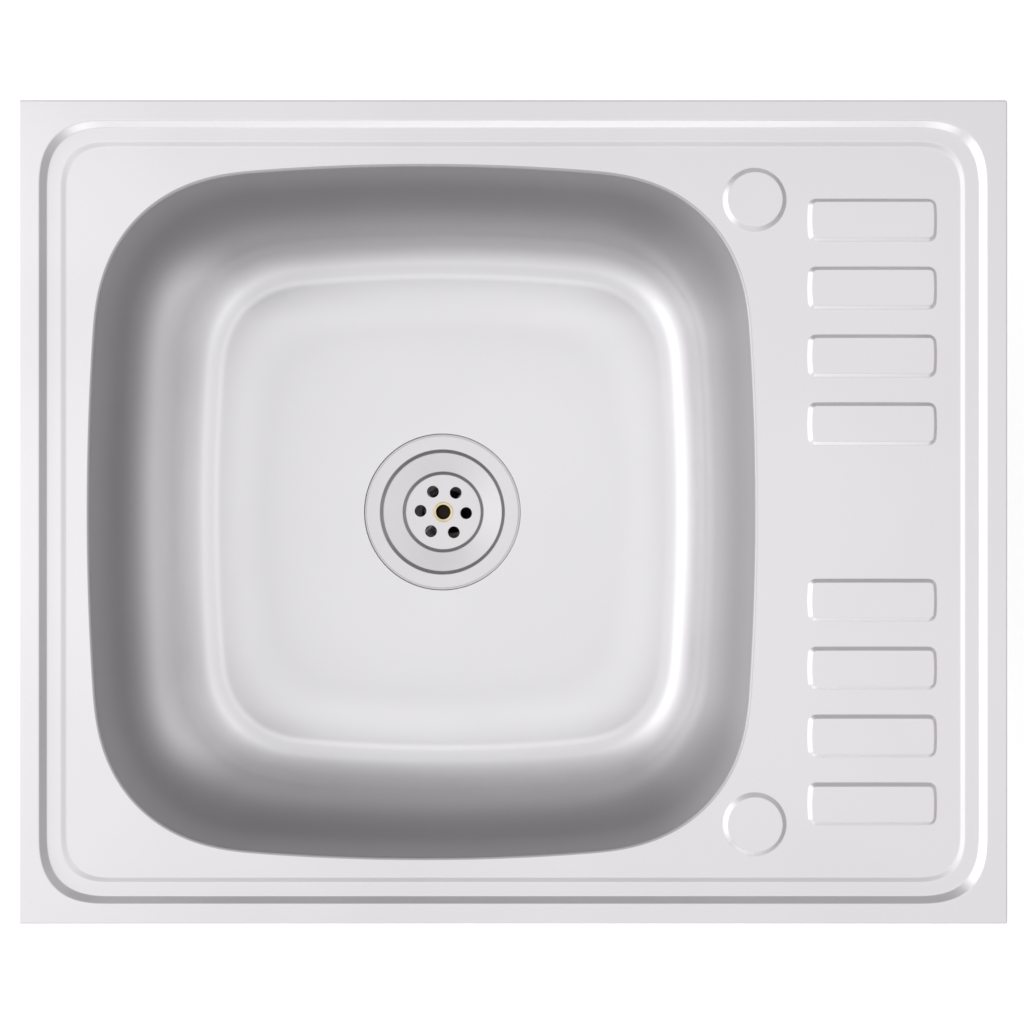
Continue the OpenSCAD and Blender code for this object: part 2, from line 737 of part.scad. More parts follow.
// Trap head: neck, drum, dip tube, outlet port and the thread for the cup
module trap_head() {
    thread_inner_r = cup_thread_r - trap_t;
    color(plastic) translate([bowl_x, 0, 0]) difference() {
        union() {
            difference() {
                union() {
                    translate([0, 0, drum_top_z - eps]) cylinder(r = neck_r, h = neck_l + eps);
                    rotate_extrude() polygon([
                        [0, drum_top_z], [neck_r + shoulder_w, drum_top_z],
                        [drum_r, drum_top_z - shoulder_h], [drum_r, drum_end_z],
                        [cup_thread_r, drum_end_z], [cup_thread_r, thread_end_z], [0, thread_end_z]
                    ]);
                    translate([0, slide_r, port_z]) rotate([-90, 0, 0])
                        cylinder(r = neck_r, h = port_l - slide_r);
                }
                rotate_extrude() polygon([
                    [dip_r, drum_top_z - drum_top_t], [neck_r, drum_top_z - drum_top_t],
                    [drum_wall_r, drum_top_z - drum_top_t - shoulder_h + shoulder_w],
                    [drum_wall_r, drum_end_z + drum_foot_h], [thread_inner_r, drum_end_z],
                    [thread_inner_r, thread_end_z - eps], [dip_r, thread_end_z - eps]
                ]);
                translate([0, port_l, port_z]) rotate([-90, 0, 0]) neck_bore(port_l - port_start);
            }
            translate([0, 0, dip_end_z]) cylinder(r = dip_r, h = drum_top_z - trap_t - dip_end_z);
        }
        translate([0, 0, neck_top_z]) neck_bore(neck_top_z - dip_end_z + eps);
    }
}

module cup_gasket() {
    color(rubber) translate([bowl_x, 0, 0])
        flat_ring(cup_thread_r - seat_gap, cup_inner_r, cup_shelf_z + seat_gap,
                  thread_end_z - seat_gap);
}

// Cup that holds the water seal, with a gripped screw collar
module trap_cup() {
    collar_top_z = drum_end_z - seat_gap;
    collar_foot_z = cup_shelf_z - cup_collar_foot;
    wall_end_r = cup_outer_r - cup_taper;
    color(plastic) translate([bowl_x, 0, 0]) union() {
        rotate_extrude() polygon([
            [cup_collar_r, collar_top_z], [cup_collar_r, collar_foot_z],
            [cup_outer_r, cup_shelf_z - cup_flare], [wall_end_r, cup_end_z + cup_dome],
            [wall_end_r - cup_dome, cup_end_z], [0, cup_end_z], [0, cup_end_z + trap_t],
            [cup_inner_r - cup_dome, cup_end_z + trap_t],
            [cup_inner_r - cup_taper, cup_end_z + cup_dome + cup_taper],
            [cup_inner_r, cup_shelf_z], [cup_bore_r, cup_shelf_z], [cup_bore_r, collar_top_z]
        ]);
        for (i = [0 : grip_count - 1])
            rotate(i * 360 / grip_count) translate([cup_collar_r, 0, collar_foot_z])
                cylinder(r = grip_r, h = collar_top_z - collar_foot_z, $fn = grip_sides);
    }
}

// Turns a piece from the trap's vertical axis to the outlet's axis, its top at distance y
module on_outlet(y) {
    translate([bowl_x, y, port_z]) rotate([-90, 0, 0]) children();
}

module outlet_nut() {
    color(plastic) on_outlet(port_nut_end - nut_h)
        grip_nut(nut_h, neck_r + thread_gap, nut_lip_t, slide_r, nut_d / 2);
}

module outlet_washer() {
    color(rubber) on_outlet(port_nut_end - nut_lip_t - seat_gap) cone_washer();
}

// Outlet pipe with a depth bead before its spigot
module outlet_pipe() {
    color(plastic) on_outlet(outlet_start) difference() {
        union() {
            cylinder(r = pipe_r, h = outlet_l - outlet_start);
            translate([0, 0, bead_y - outlet_start]) cylinder(r = pipe_r + bead_h, h = bead_w);
        }
        translate([0, 0, -eps]) cylinder(r = bore_r, h = outlet_l - outlet_start + 2 * eps);
    }
}

// Domed plate that covers the hole in the wall
module wall_rosette() {
    bore = pipe_r + fit_gap;
    rim = rosette_d / 2 - rosette_rim;
    color(plastic) on_outlet(bead_y - seat_gap - rosette_h) rotate_extrude() polygon([
        [bore, 0], [bore + rosette_hub, 0], [rim, rosette_h - rosette_t], [rosette_d / 2, rosette_h],
        [rim, rosette_h], [bore + rosette_hub, rosette_t], [bore, rosette_t + rosette_hub]
    ]);
}

deck_panel();
bowl();
sound_pad();
deck_stiffener();
corner_plates();
strainer_dish();
flange_gasket();
lower_gasket();
waste_body();
screw_insert();
clamp_screw();
union_nut();
tail_gasket();
inlet_pipe();
head_nut();
head_washer();
trap_head();
cup_gasket();
trap_cup();
outlet_nut();
outlet_washer();
outlet_pipe();
wall_rosette();
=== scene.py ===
"""Dressed lay-on kitchen sink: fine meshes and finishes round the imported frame.

Every size is in millimetres in the code and becomes metres when a mesh is made.
+Z is up, +X runs towards the drainer and +Y towards the wall behind the sink.
"""

import logging
import math
from dataclasses import dataclass, field, replace
from enum import Enum
from typing import Callable, Sequence

import bmesh
import bpy
import numpy as np
from mathutils import Matrix, Vector
from mathutils.geometry import delaunay_2d_cdt


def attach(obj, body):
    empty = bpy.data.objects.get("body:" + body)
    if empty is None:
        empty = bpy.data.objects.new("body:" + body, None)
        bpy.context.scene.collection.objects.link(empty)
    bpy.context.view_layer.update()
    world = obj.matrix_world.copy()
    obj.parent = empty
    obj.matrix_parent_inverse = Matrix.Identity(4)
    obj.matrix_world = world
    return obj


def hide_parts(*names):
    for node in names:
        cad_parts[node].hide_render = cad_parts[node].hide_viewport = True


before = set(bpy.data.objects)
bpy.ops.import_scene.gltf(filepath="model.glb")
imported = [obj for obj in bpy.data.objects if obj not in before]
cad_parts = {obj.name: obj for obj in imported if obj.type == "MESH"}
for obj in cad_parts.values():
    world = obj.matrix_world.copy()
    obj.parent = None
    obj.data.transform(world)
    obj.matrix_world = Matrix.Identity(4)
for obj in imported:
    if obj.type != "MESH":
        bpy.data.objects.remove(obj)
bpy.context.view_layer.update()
LOG = logging.getLogger("sink")
MM = 0.001
BOWL_X = -55.6
DECK_Z = 28.5
SHEET_T = 0.8

Ring = np.ndarray
Shape = Callable[[float, float], Ring]
Node = bpy.types.Node
Socket = bpy.types.NodeSocket
Thing = bpy.types.Object
Tree = bpy.types.NodeTree
Colour = tuple[float, float, float]


# ---------------------------------------------------------------- shapes

def eased(share: float, soft: float) -> float:
    """Height of a slope that eases in and out over a share of its run.

    Args:
        share: Place along the slope, from 0 to 1.
        soft: Share of the run that each rounded end takes.

    Returns:
        The height there, from 0 to 1.
    """
    steep = 1 / (1 - soft)
    if share < soft:
        return steep * share * share / (2 * soft)
    if share > 1 - soft:
        return 1 - steep * (1 - share) ** 2 / (2 * soft)
    return steep * (share - soft / 2)


@dataclass(frozen=True)
class Outline:
    """Rectangle with eased corners whose sides may bow outwards."""

    length: float
    width: float
    radius: float
    power: float = 2.0
    bow_x: float = 0.0
    bow_y: float = 0.0
    x: float = 0.0
    y: float = 0.0
    corner_steps: int = 16
    side_steps: int = 4

    def ring(self, inset: float, z: float) -> Ring:
        """Points at an inset from the outline, anticlockwise from the +X side's middle.

        Args:
            inset: Distance inwards, in millimetres.
            z: Height of the ring, in millimetres.

        Returns:
            An array with one row of three coordinates for each point.
        """
        a, b = self.length / 2 - inset, self.width / 2 - inset
        r = max(self.radius - inset, 0.01)
        turn = np.linspace(0, math.pi / 2, self.corner_steps + 1)
        ease = 2 / self.power
        corner = np.stack([a - r + r * np.cos(turn).clip(0) ** ease,
                           b - r + r * np.sin(turn).clip(0) ** ease], 1)
        rise = np.linspace(0, 1, self.side_steps + 1)[:-1]
        side = np.stack([np.full_like(rise, a), rise * (b - r)], 1)
        top = np.stack([(1 - rise[1:]) * (a - r), np.full_like(rise[1:], b)], 1)
        quarter = np.concatenate([side, corner, top])
        quarter = np.stack([quarter[:, 0] * (1 - self.bow_x * (quarter[:, 1] / b) ** 2),
                            quarter[:, 1] * (1 - self.bow_y * (quarter[:, 0] / a) ** 2)], 1)
        middle = np.array([[0.0, b]])
        left = quarter[::-1] * [-1, 1]
        half = np.concatenate([quarter, middle, left])
        ring = np.concatenate([half, half[-2:0:-1] * [1, -1]])
        return raised(ring + [self.x, self.y], z)


def circle(radius: float, z: float, x: float = 0.0, y: float = 0.0, steps: int = 64) -> Ring:
    """Round ring, anticlockwise.

    Args:
        radius: Radius in millimetres.
        z: Height in millimetres.
        x: Centre along X.
        y: Centre along Y.
        steps: Number of points.

    Returns:
        An array with one row of three coordinates for each point.
    """
    turn = np.linspace(0, 2 * math.pi, steps, endpoint=False)
    return raised(np.column_stack([x + radius * np.cos(turn), y + radius * np.sin(turn)]), z)


def raised(flat: np.ndarray, z: float) -> Ring:
    """Gives rows of x and y a height."""
    return np.column_stack([flat, np.full(len(flat), z)])


def quarter(steps: int) -> list[float]:
    """Gives the angles of a quarter turn, both ends included."""
    return [math.pi / 2 * i / steps for i in range(steps + 1)]


class Patchwork:
    """Collects patches of a surface and welds them into one mesh."""

    def __init__(self) -> None:
        """Starts an empty surface."""
        self.points: list[np.ndarray] = []
        self.faces: list[tuple[int, ...]] = []
        self.count = 0

    def add(self, points: np.ndarray, faces: Sequence[tuple[int, ...]]) -> None:
        """Adds points and the faces that index them.

        Args:
            points: Rows of three coordinates in millimetres.
            faces: Index tuples that count from the first of these points.
        """
        self.faces += [tuple(i + self.count for i in f) for f in faces]
        self.points.append(points)
        self.count += len(points)

    def strip(self, rings: Sequence[Ring], loop: bool = False, closed: bool = True) -> None:
        """Lays quads between neighbouring rings of as many points.

        Args:
            rings: The rings, in order.
            loop: Whether the last ring joins the first.
            closed: Whether each ring's last point joins its first.
        """
        n, m = len(rings[0]), len(rings)
        wide = n if closed else n - 1
        faces = []
        for k in range(m if loop else m - 1):
            low, high = k * n, (k + 1) % m * n
            faces += [(low + i, low + (i + 1) % n, high + (i + 1) % n, high + i)
                      for i in range(wide)]
        self.add(np.concatenate(rings), faces)

    def flat(self, loops: Sequence[Ring]) -> None:
        """Fills the level space between an outer loop and the holes inside it.

        Args:
            loops: Rings at one height, the outer one first.
        """
        points = np.concatenate(loops)
        edges, start = [], 0
        for loop in loops:
            n = len(loop)
            edges += [(start + i, start + (i + 1) % n) for i in range(n)]
            start += n
        found = delaunay_2d_cdt([Vector(p[:2]) for p in points], edges, [], 1, 1e-5)
        made = np.array([[p.x, p.y, points[0][2]] for p in found[0]])
        tips = made[np.array(found[2])]
        x, y = tips[:, :, 0].mean(1)[:, None], tips[:, :, 1].mean(1)[:, None]
        low, high = points[[e[0] for e in edges]], points[[e[1] for e in edges]]
        level = (low[:, 1] > y) != (high[:, 1] > y)
        with np.errstate(divide="ignore", invalid="ignore"):
            cross = low[:, 0] + (y - low[:, 1]) * (high - low)[:, 0] / (high - low)[:, 1]
        inside = (level & (x < cross)).sum(1) % 2 == 1
        self.add(made, [tuple(f) for f, keep in zip(found[2], inside) if keep])

    def build(self, name: str, weld: float = 0.004) -> Thing:
        """Makes the object, welded and with its faces turned outwards.

        Args:
            name: Name of the object.
            weld: Distance in millimetres within which points become one.

        Returns:
            The new object, linked to the scene.
        """
        mesh = bpy.data.meshes.new(name)
        mesh.from_pydata((np.concatenate(self.points) * MM).tolist(), [], self.faces)
        work = bmesh.new()
        work.from_mesh(mesh)
        bmesh.ops.remove_doubles(work, verts=work.verts, dist=weld * MM)
        bmesh.ops.dissolve_degenerate(work, edges=work.edges, dist=1e-7)
        bmesh.ops.recalc_face_normals(work, faces=work.faces)
        for face in work.faces:
            face.smooth = True
        work.to_mesh(mesh)
        work.free()
        thing = bpy.data.objects.new(name, mesh)
        bpy.context.scene.collection.objects.link(thing)
        return thing


def thicken(thing: Thing, thickness: float) -> None:
    """Gives an open sheet its thickness, below the side that its faces look from.

    Args:
        thing: The sheet.
        thickness: Thickness in millimetres.
    """
    shell = thing.modifiers.new("sheet", "SOLIDIFY")
    shell.thickness = thickness * MM
    shell.offset = -1
    shell.use_even_offset = True
    shell.use_quality_normals = True
    settle(thing)


def settle(thing: Thing) -> None:
    """Turns an object's modifiers into plain mesh.

    Args:
        thing: The object.
    """
    bpy.context.view_layer.update()
    graph = bpy.context.evaluated_depsgraph_get()
    made = bpy.data.meshes.new_from_object(thing.evaluated_get(graph))
    old = thing.data
    thing.modifiers.clear()
    thing.data = made
    name = old.name
    bpy.data.meshes.remove(old)
    made.name = name


def face_up(thing: Thing, point: Colour) -> None:
    """Turns all faces round if the one nearest to a point looks down.

    Args:
        thing: An object with one connected, consistently turned surface.
        point: A point in metres over a face that has to look up.
    """
    work = bmesh.new()
    work.from_mesh(thing.data)
    near = min(work.faces, key=lambda f: (f.calc_center_median() - Vector(point)).length)
    if near.normal.z < 0:
        bmesh.ops.reverse_faces(work, faces=work.faces)
        work.to_mesh(thing.data)
    work.free()


@dataclass(frozen=True)
class Knot:
    """Corner of a lathe profile."""

    r: float
    z: float
    fillet: float = 0.0
    grip: float = 0.0
    thread: float = 0.0


def filleted(knots: Sequence[Knot], steps: int = 4) -> np.ndarray:
    """Rounds the corners of a closed profile.

    Args:
        knots: The profile's corners, in order.
        steps: Steps along each rounded corner.

    Returns:
        Rows of radius, height, grip share and thread share.
    """
    rows: list[list[float]] = []
    n = len(knots)
    for i, k in enumerate(knots):
        here = np.array([k.r, k.z])
        back = np.array([knots[i - 1].r, knots[i - 1].z]) - here
        ahead = np.array([knots[(i + 1) % n].r, knots[(i + 1) % n].z]) - here
        lb, la = np.linalg.norm(back), np.linalg.norm(ahead)
        if k.fillet <= 0 or lb == 0 or la == 0:
            rows.append([k.r, k.z, k.grip, k.thread])
            continue
        back, ahead = back / lb, ahead / la
        angle = math.acos(float(np.clip(back @ ahead, -1, 1)))
        trim = min(k.fillet / math.tan(angle / 2), lb * 0.45, la * 0.45)
        radius = trim * math.tan(angle / 2)
        middle = (back + ahead) / np.linalg.norm(back + ahead)
        centre = here + middle * radius / math.sin(angle / 2)
        first, last = here + back * trim, here + ahead * trim
        guard = min(0.2 * trim, 0.04 * min(lb, la))
        swing = [first - centre, last - centre]
        start = math.atan2(swing[0][1], swing[0][0])
        turn = (math.atan2(swing[1][1], swing[1][0]) - start + math.pi) % (2 * math.pi) - math.pi
        arc = [centre + radius * np.array([math.cos(start + turn * j / steps),
                                           math.sin(start + turn * j / steps)])
               for j in range(steps + 1)]
        path = [first + back * guard, *arc, last + ahead * guard]
        rows += [[p[0], p[1], k.grip, k.thread] for p in path]
    return np.array(rows)


def densified(rows: np.ndarray, step: float) -> np.ndarray:
    """Adds rows where a profile carries a thread.

    Args:
        rows: Rows of radius, height, grip share and thread share.
        step: Greatest distance between rows in the thread.

    Returns:
        The rows with the added ones between them.
    """
    out = []
    for here, ahead in zip(rows, np.roll(rows, -1, axis=0)):
        out.append(here)
        if here[3] > 0 or ahead[3] > 0:
            parts = int(np.linalg.norm(ahead[:2] - here[:2]) / step)
            out += [here + (ahead - here) * j / parts for j in range(1, parts)]
    return np.array(out)


class Axis(Enum):
    """Line that a turned piece turns about."""

    WASTE = "down through the waste and the trap"
    OUTLET = "along the outlet pipe"


@dataclass(frozen=True)
class Lathe:
    """Turned or moulded piece: a closed profile swept round an axis."""

    knots: tuple[Knot, ...]
    axis: Axis = Axis.WASTE
    steps: int = 128
    pitch: float = 3.0
    depth: float = 0.9
    grips: int = 12
    grip_h: float = 2.0
    grip_w: float = 0.42
    port_z: float = -286.3
    flank: float = 1.3
    crown: float = 0.6

    @classmethod
    def of(cls, rows: Sequence[Sequence[float]], **plan: object) -> "Lathe":
        """Gives the lathe of a profile whose knots are plain rows of numbers."""
        return cls(tuple(Knot(*row) for row in rows), **plan)

    def radius(self, rows: np.ndarray, turn: float) -> np.ndarray:
        """Radius of the profile's rows at one turn about the axis.

        Args:
            rows: Rows of radius, height, grip share and thread share.
            turn: Angle about the axis, in radians.

        Returns:
            One radius for each row, with grips and thread.
        """
        place = (turn * self.grips / (2 * math.pi) + 0.5) % 1 - 0.5
        bump = max(0.0, math.cos(math.pi * place / self.grip_w)) ** self.crown if abs(
            place) < self.grip_w / 2 else 0.0
        wave = np.abs((rows[:, 1] / self.pitch - turn / (2 * math.pi)) % 1 - 0.5) * 4 - 1
        wave = np.clip(wave * self.flank, -1, 1) * 0.5 - 0.5
        return rows[:, 0] + rows[:, 2] * bump * self.grip_h + rows[:, 3] * wave * self.depth

    def build(self, name: str) -> Thing:
        """Makes the piece.

        Args:
            name: Name of the object.

        Returns:
            The new object.
        """
        rows = densified(filleted(self.knots), self.pitch / 8)
        rings = []
        for turn in np.linspace(0, 2 * math.pi, self.steps, endpoint=False):
            r = self.radius(rows, turn)
            rings.append(self.placed(np.column_stack(
                [r * math.cos(turn), r * math.sin(turn), rows[:, 1]])))
        skin = Patchwork()
        skin.strip(rings, loop=True)
        return skin.build(name)

    def placed(self, points: np.ndarray) -> np.ndarray:
        """Brings points from the piece's own axis to the sink.

        Args:
            points: Rows of three coordinates about the piece's own Z axis.

        Returns:
            The rows in the sink's frame, in millimetres.
        """
        if self.axis is Axis.OUTLET:
            points = points[:, [0, 2, 1]] * [1, 1, -1] + [0, 0, self.port_z]
        return points + [BOWL_X, 0, 0]


def slab(sheet: Patchwork, shape: Shape, low: float, high: float,
         edge: float = 0.3, holes: Sequence[Shape] = ()) -> None:
    """Adds a level slab with rounded edges and straight holes.

    Args:
        sheet: The surface that the slab goes to.
        shape: Gives the outline's ring at an inset and a height.
        low: Height of its underside.
        high: Height of its upper side.
        edge: Radius of its edges.
        holes: Give each hole's ring at an inset and a height.
    """
    top = [(edge * (1 - math.sin(t)), high - edge * (1 - math.cos(t)))
           for t in (0, math.pi / 6, math.pi / 3, math.pi / 2)]
    path = [(edge * 1.6, high), *top, *[(i, low + high - z) for i, z in reversed(top)],
            (edge * 1.6, low)]
    walls = [[shape(i, z) for i, z in path]]
    walls += [[hole(-i, z) for i, z in path] for hole in holes]
    for wall in walls:
        sheet.strip(wall)
    sheet.flat([wall[0] for wall in walls])
    sheet.flat([wall[-1] for wall in walls])


@dataclass(frozen=True)
class Plate:
    """Convex flat shape with rounded corners."""

    corners: tuple[tuple[float, float], ...]
    radius: float = 2.0

    def ring(self, inset: float, z: float) -> Ring:
        """Gives the shape's ring at an inset and a height.

        Args:
            inset: Distance inwards, in millimetres.
            z: Height in millimetres.

        Returns:
            An array with one row of three coordinates for each point.
        """
        path = filleted([Knot(x, y, self.radius) for x, y in self.corners], 5)[:, :2]
        away = path - path.mean(0)
        path = path - away * (inset / np.linalg.norm(away, axis=1))[:, None]
        return raised(path, z)


def combine(base: Thing, other: Thing, how: str) -> None:
    """Joins a solid to another or cuts it away, and drops the other.

    Args:
        base: The solid that stays.
        other: The solid that is used up.
        how: UNION or DIFFERENCE.
    """
    cut = base.modifiers.new("combine", "BOOLEAN")
    cut.operation = how
    cut.solver = "MANIFOLD"
    cut.object = other
    settle(base)
    bpy.data.objects.remove(other)


def crisp(thing: Thing, angle: float = 38) -> None:
    """Shades a mesh smoothly apart from its sharp edges.

    Args:
        thing: The object.
        angle: Edges that turn by more than this many degrees stay sharp.
    """
    for face in thing.data.polygons:
        face.use_smooth = True
    thing.data.set_sharp_from_angle(angle=math.radians(angle))


# ---------------------------------------------------------------- finishes

class Graph:
    """Adds nodes to a node tree and links them."""

    def __init__(self, tree: Tree) -> None:
        """Keeps the tree that the nodes go to."""
        self.tree = tree

    @classmethod
    def emptied(cls, owner: bpy.types.Material | bpy.types.World) -> "Graph":
        """Gives the graph of a material or world, with no node in it."""
        owner.use_nodes = True
        owner.node_tree.nodes.clear()
        return cls(owner.node_tree)

    def node(self, kind: str, values: dict[str, object] | None = None, **settings: object) -> Node:
        """Adds a node.

        Args:
            kind: The node's type, without its ShaderNode prefix.
            values: Values or sockets for its inputs, by name or index.
            settings: Properties of the node.

        Returns:
            The node.
        """
        made = self.tree.nodes.new("ShaderNode" + kind)
        for key, value in settings.items():
            setattr(made, key, value)
        for key, value in (values or {}).items():
            self.feed(made.inputs[key], value)
        return made

    def feed(self, socket: Socket, value: object) -> None:
        """Links a socket to an input, or sets the input's own value.

        Args:
            socket: The input.
            value: A socket or a plain value.
        """
        if isinstance(value, bpy.types.NodeSocket):
            self.tree.links.new(value, socket)
        else:
            socket.default_value = value

    def math(self, operation: str, *terms: object, clamp: bool = False) -> Socket:
        """Adds a Math node and gives its result.

        Args:
            operation: The Math node's operation.
            terms: Its inputs, in order.
            clamp: Whether the result is kept between 0 and 1.

        Returns:
            The result's socket.
        """
        made = self.node("Math", operation=operation, use_clamp=clamp)
        for i, term in enumerate(terms):
            self.feed(made.inputs[i], term)
        return made.outputs[0]

    def ramp(self, value: object, low: object, high: object, to_low: object = 0.0,
             to_high: object = 1.0, smooth: bool = False) -> Socket:
        """Maps a value from one range to another, held at both ends.

        Args:
            value: The value.
            low: Where the range starts.
            high: Where the range ends.
            to_low: Result at the start.
            to_high: Result at the end.
            smooth: Whether the change eases in and out.

        Returns:
            The result's socket.
        """
        kind = "SMOOTHSTEP" if smooth else "LINEAR"
        made = self.node("MapRange", {0: value, 1: low, 2: high, 3: to_low, 4: to_high},
                         interpolation_type=kind)
        return made.outputs[0]

    def place(self) -> Socket:
        """Gives the point on the object that is shaded."""
        return self.node("TexCoord").outputs["Object"]

    def radius(self) -> Socket:
        """Gives the shaded point's distance from the waste's axis."""
        about = self.node("VectorMath", {0: self.place(), 1: (BOWL_X * MM, 0.0, 0.0)},
                          operation="SUBTRACT")
        level = self.node("VectorMath", {0: about.outputs[0], 1: (1.0, 1.0, 0.0)},
                          operation="MULTIPLY")
        return self.node("VectorMath", {0: level.outputs[0]}, operation="LENGTH").outputs[1]

    def times(self, first: object, second: object, clamp: bool = False) -> Socket:
        """Multiplies two values."""
        return self.math("MULTIPLY", first, second, clamp=clamp)

    def mix(self, share: object, first: object, second: object) -> Socket:
        """Mixes two colours.

        Args:
            share: How much of the second shows.
            first: The first colour.
            second: The second colour.

        Returns:
            The mixed colour's socket.
        """
        made = self.node("Mix", data_type="RGBA")
        self.feed(made.inputs[0], share)
        for socket, colour in zip(made.inputs[6:8], (first, second)):
            self.feed(socket, (*colour, 1) if isinstance(colour, tuple) else colour)
        return made.outputs[2]


Sockets = dict[str, Socket]
GroupPlan = Callable[[Graph, Sockets], Sockets]


class Effect(Enum):
    """Surface effects that several finishes share."""

    GRAIN = "fine grain, stretched along a direction"
    CLOUD = "broad, soft unevenness"
    TURNED = "rings left by turning about the waste's axis"
    FLECK = "scattered specks"
    SPANGLE = "crystal patches of a zinc coat"
    SEAM = "parting line of a mould"
    # painted shade: a darker band on the bowl's inner walls
    PAINTED_WALL_SHADE = "dull band where the press has drawn the bowl's wall"
    # painted shade inside the screw head's socket
    SOCKET = "dark inside of the screw's head"
    # painted shade in round creases
    CREASE = "soil in a round crease about the waste's axis"


PLANS: dict[Effect, tuple[str, dict[str, object], tuple[str, ...], GroupPlan]] = {}


def effect(kind: Effect, name: str, inputs: dict[str, object], *outputs: str
           ) -> Callable[[GroupPlan], GroupPlan]:
    """Notes a plan as the one that an effect's node group is built from.

    Args:
        kind: The effect.
        name: The group's name.
        inputs: Default value of each input, by name: a number or three for a vector.
        outputs: Name of each output, all of them numbers.

    Returns:
        The decorator that notes the plan and gives it back.
    """
    def note(plan: GroupPlan) -> GroupPlan:
        """Notes the plan."""
        PLANS[kind] = (name, inputs, outputs, plan)
        return plan
    return note


class Effects:
    """Makes each shared effect's node group once."""

    def __init__(self) -> None:
        """Starts with no group made."""
        self.trees: dict[Effect, Tree] = {}

    def tree(self, kind: Effect) -> Tree:
        """Gives an effect's group, and builds it when it is first asked for.

        Args:
            kind: The effect.

        Returns:
            The group's node tree.
        """
        if kind in self.trees:
            return self.trees[kind]
        name, inputs, outputs, plan = PLANS[kind]
        made = self.trees[kind] = bpy.data.node_groups.new(name, "ShaderNodeTree")
        for key, value in inputs.items():
            socket_type = "NodeSocket" + ("Vector" if isinstance(value, tuple) else "Float")
            made.interface.new_socket(name=key, in_out="INPUT",
                                      socket_type=socket_type).default_value = value
        for key in outputs:
            made.interface.new_socket(name=key, in_out="OUTPUT", socket_type="NodeSocketFloat")
        start, end = made.nodes.new("NodeGroupInput"), made.nodes.new("NodeGroupOutput")
        for key, socket in plan(Graph(made), {key: start.outputs[key] for key in inputs}).items():
            made.links.new(socket, end.inputs[key])
        return made


@effect(Effect.GRAIN, "fine_grain", {"Scale": 900.0, "Stretch": (1, 1, 1)}, "Value")
def fine_grain(g: Graph, i: Sockets) -> Sockets:
    """Fine grain that may be stretched along a direction."""
    stretched = g.node("VectorMath", {0: g.place(), 1: i["Stretch"]}, operation="MULTIPLY")
    noise = g.node("TexNoise", {"Vector": stretched.outputs[0], "Scale": i["Scale"],
                                "Detail": 3.0, "Roughness": 0.6})
    return {"Value": g.ramp(noise.outputs[0], 0.3, 0.7)}


@effect(Effect.CLOUD, "broad_cloud", {"Scale": 12.0, "Low": 0.0, "High": 1.0}, "Value")
def broad_cloud(g: Graph, i: Sockets) -> Sockets:
    """Broad, soft unevenness between two levels."""
    noise = g.node("TexNoise", {"Vector": g.place(), "Scale": i["Scale"], "Detail": 2.0})
    return {"Value": g.ramp(noise.outputs[0], 0.3, 0.7, i["Low"], i["High"], True)}


@effect(Effect.TURNED, "turned_rings", {"Scale": 1500.0}, "Value")
def turned_rings(g: Graph, i: Sockets) -> Sockets:
    """Rings left by turning about the waste's axis."""
    r = g.radius()
    fine = g.node("TexNoise", {"W": r, "Scale": i["Scale"], "Detail": 4.0}, noise_dimensions="1D")
    return {"Value": g.ramp(fine.outputs[0], 0.3, 0.7)}


@effect(Effect.FLECK, "flecks", {"Scale": 400.0, "Size": 0.4}, "Mask")
def flecks(g: Graph, i: Sockets) -> Sockets:
    """Scattered specks of uneven size."""
    cell = g.node("TexVoronoi", {"Vector": g.place(), "Scale": i["Scale"]})
    size = g.times(i["Size"], cell.outputs["Color"])
    return {"Mask": g.ramp(cell.outputs["Distance"], 0.0, size, 1.0, 0.0, True)}


@effect(Effect.SPANGLE, "zinc_spangle", {"Scale": 160.0}, "Value")
def zinc_spangle(g: Graph, i: Sockets) -> Sockets:
    """Crystal patches of a zinc coat."""
    cell = g.node("TexVoronoi", {"Vector": g.place(), "Scale": i["Scale"]})
    return {"Value": g.ramp(cell.outputs["Color"], 0.0, 1.0)}


@effect(Effect.SEAM, "mould_seam", {"Width": 0.0004}, "Mask")
def mould_seam(g: Graph, i: Sockets) -> Sockets:
    """Parting line of the mould, in the plane through the pipes' axes."""
    x = g.node("SeparateXYZ", {0: g.place()}).outputs[0]
    off = g.math("ABSOLUTE", g.math("SUBTRACT", x, BOWL_X * MM))
    return {"Mask": g.ramp(off, 0.0, i["Width"], 1.0, 0.0, True)}


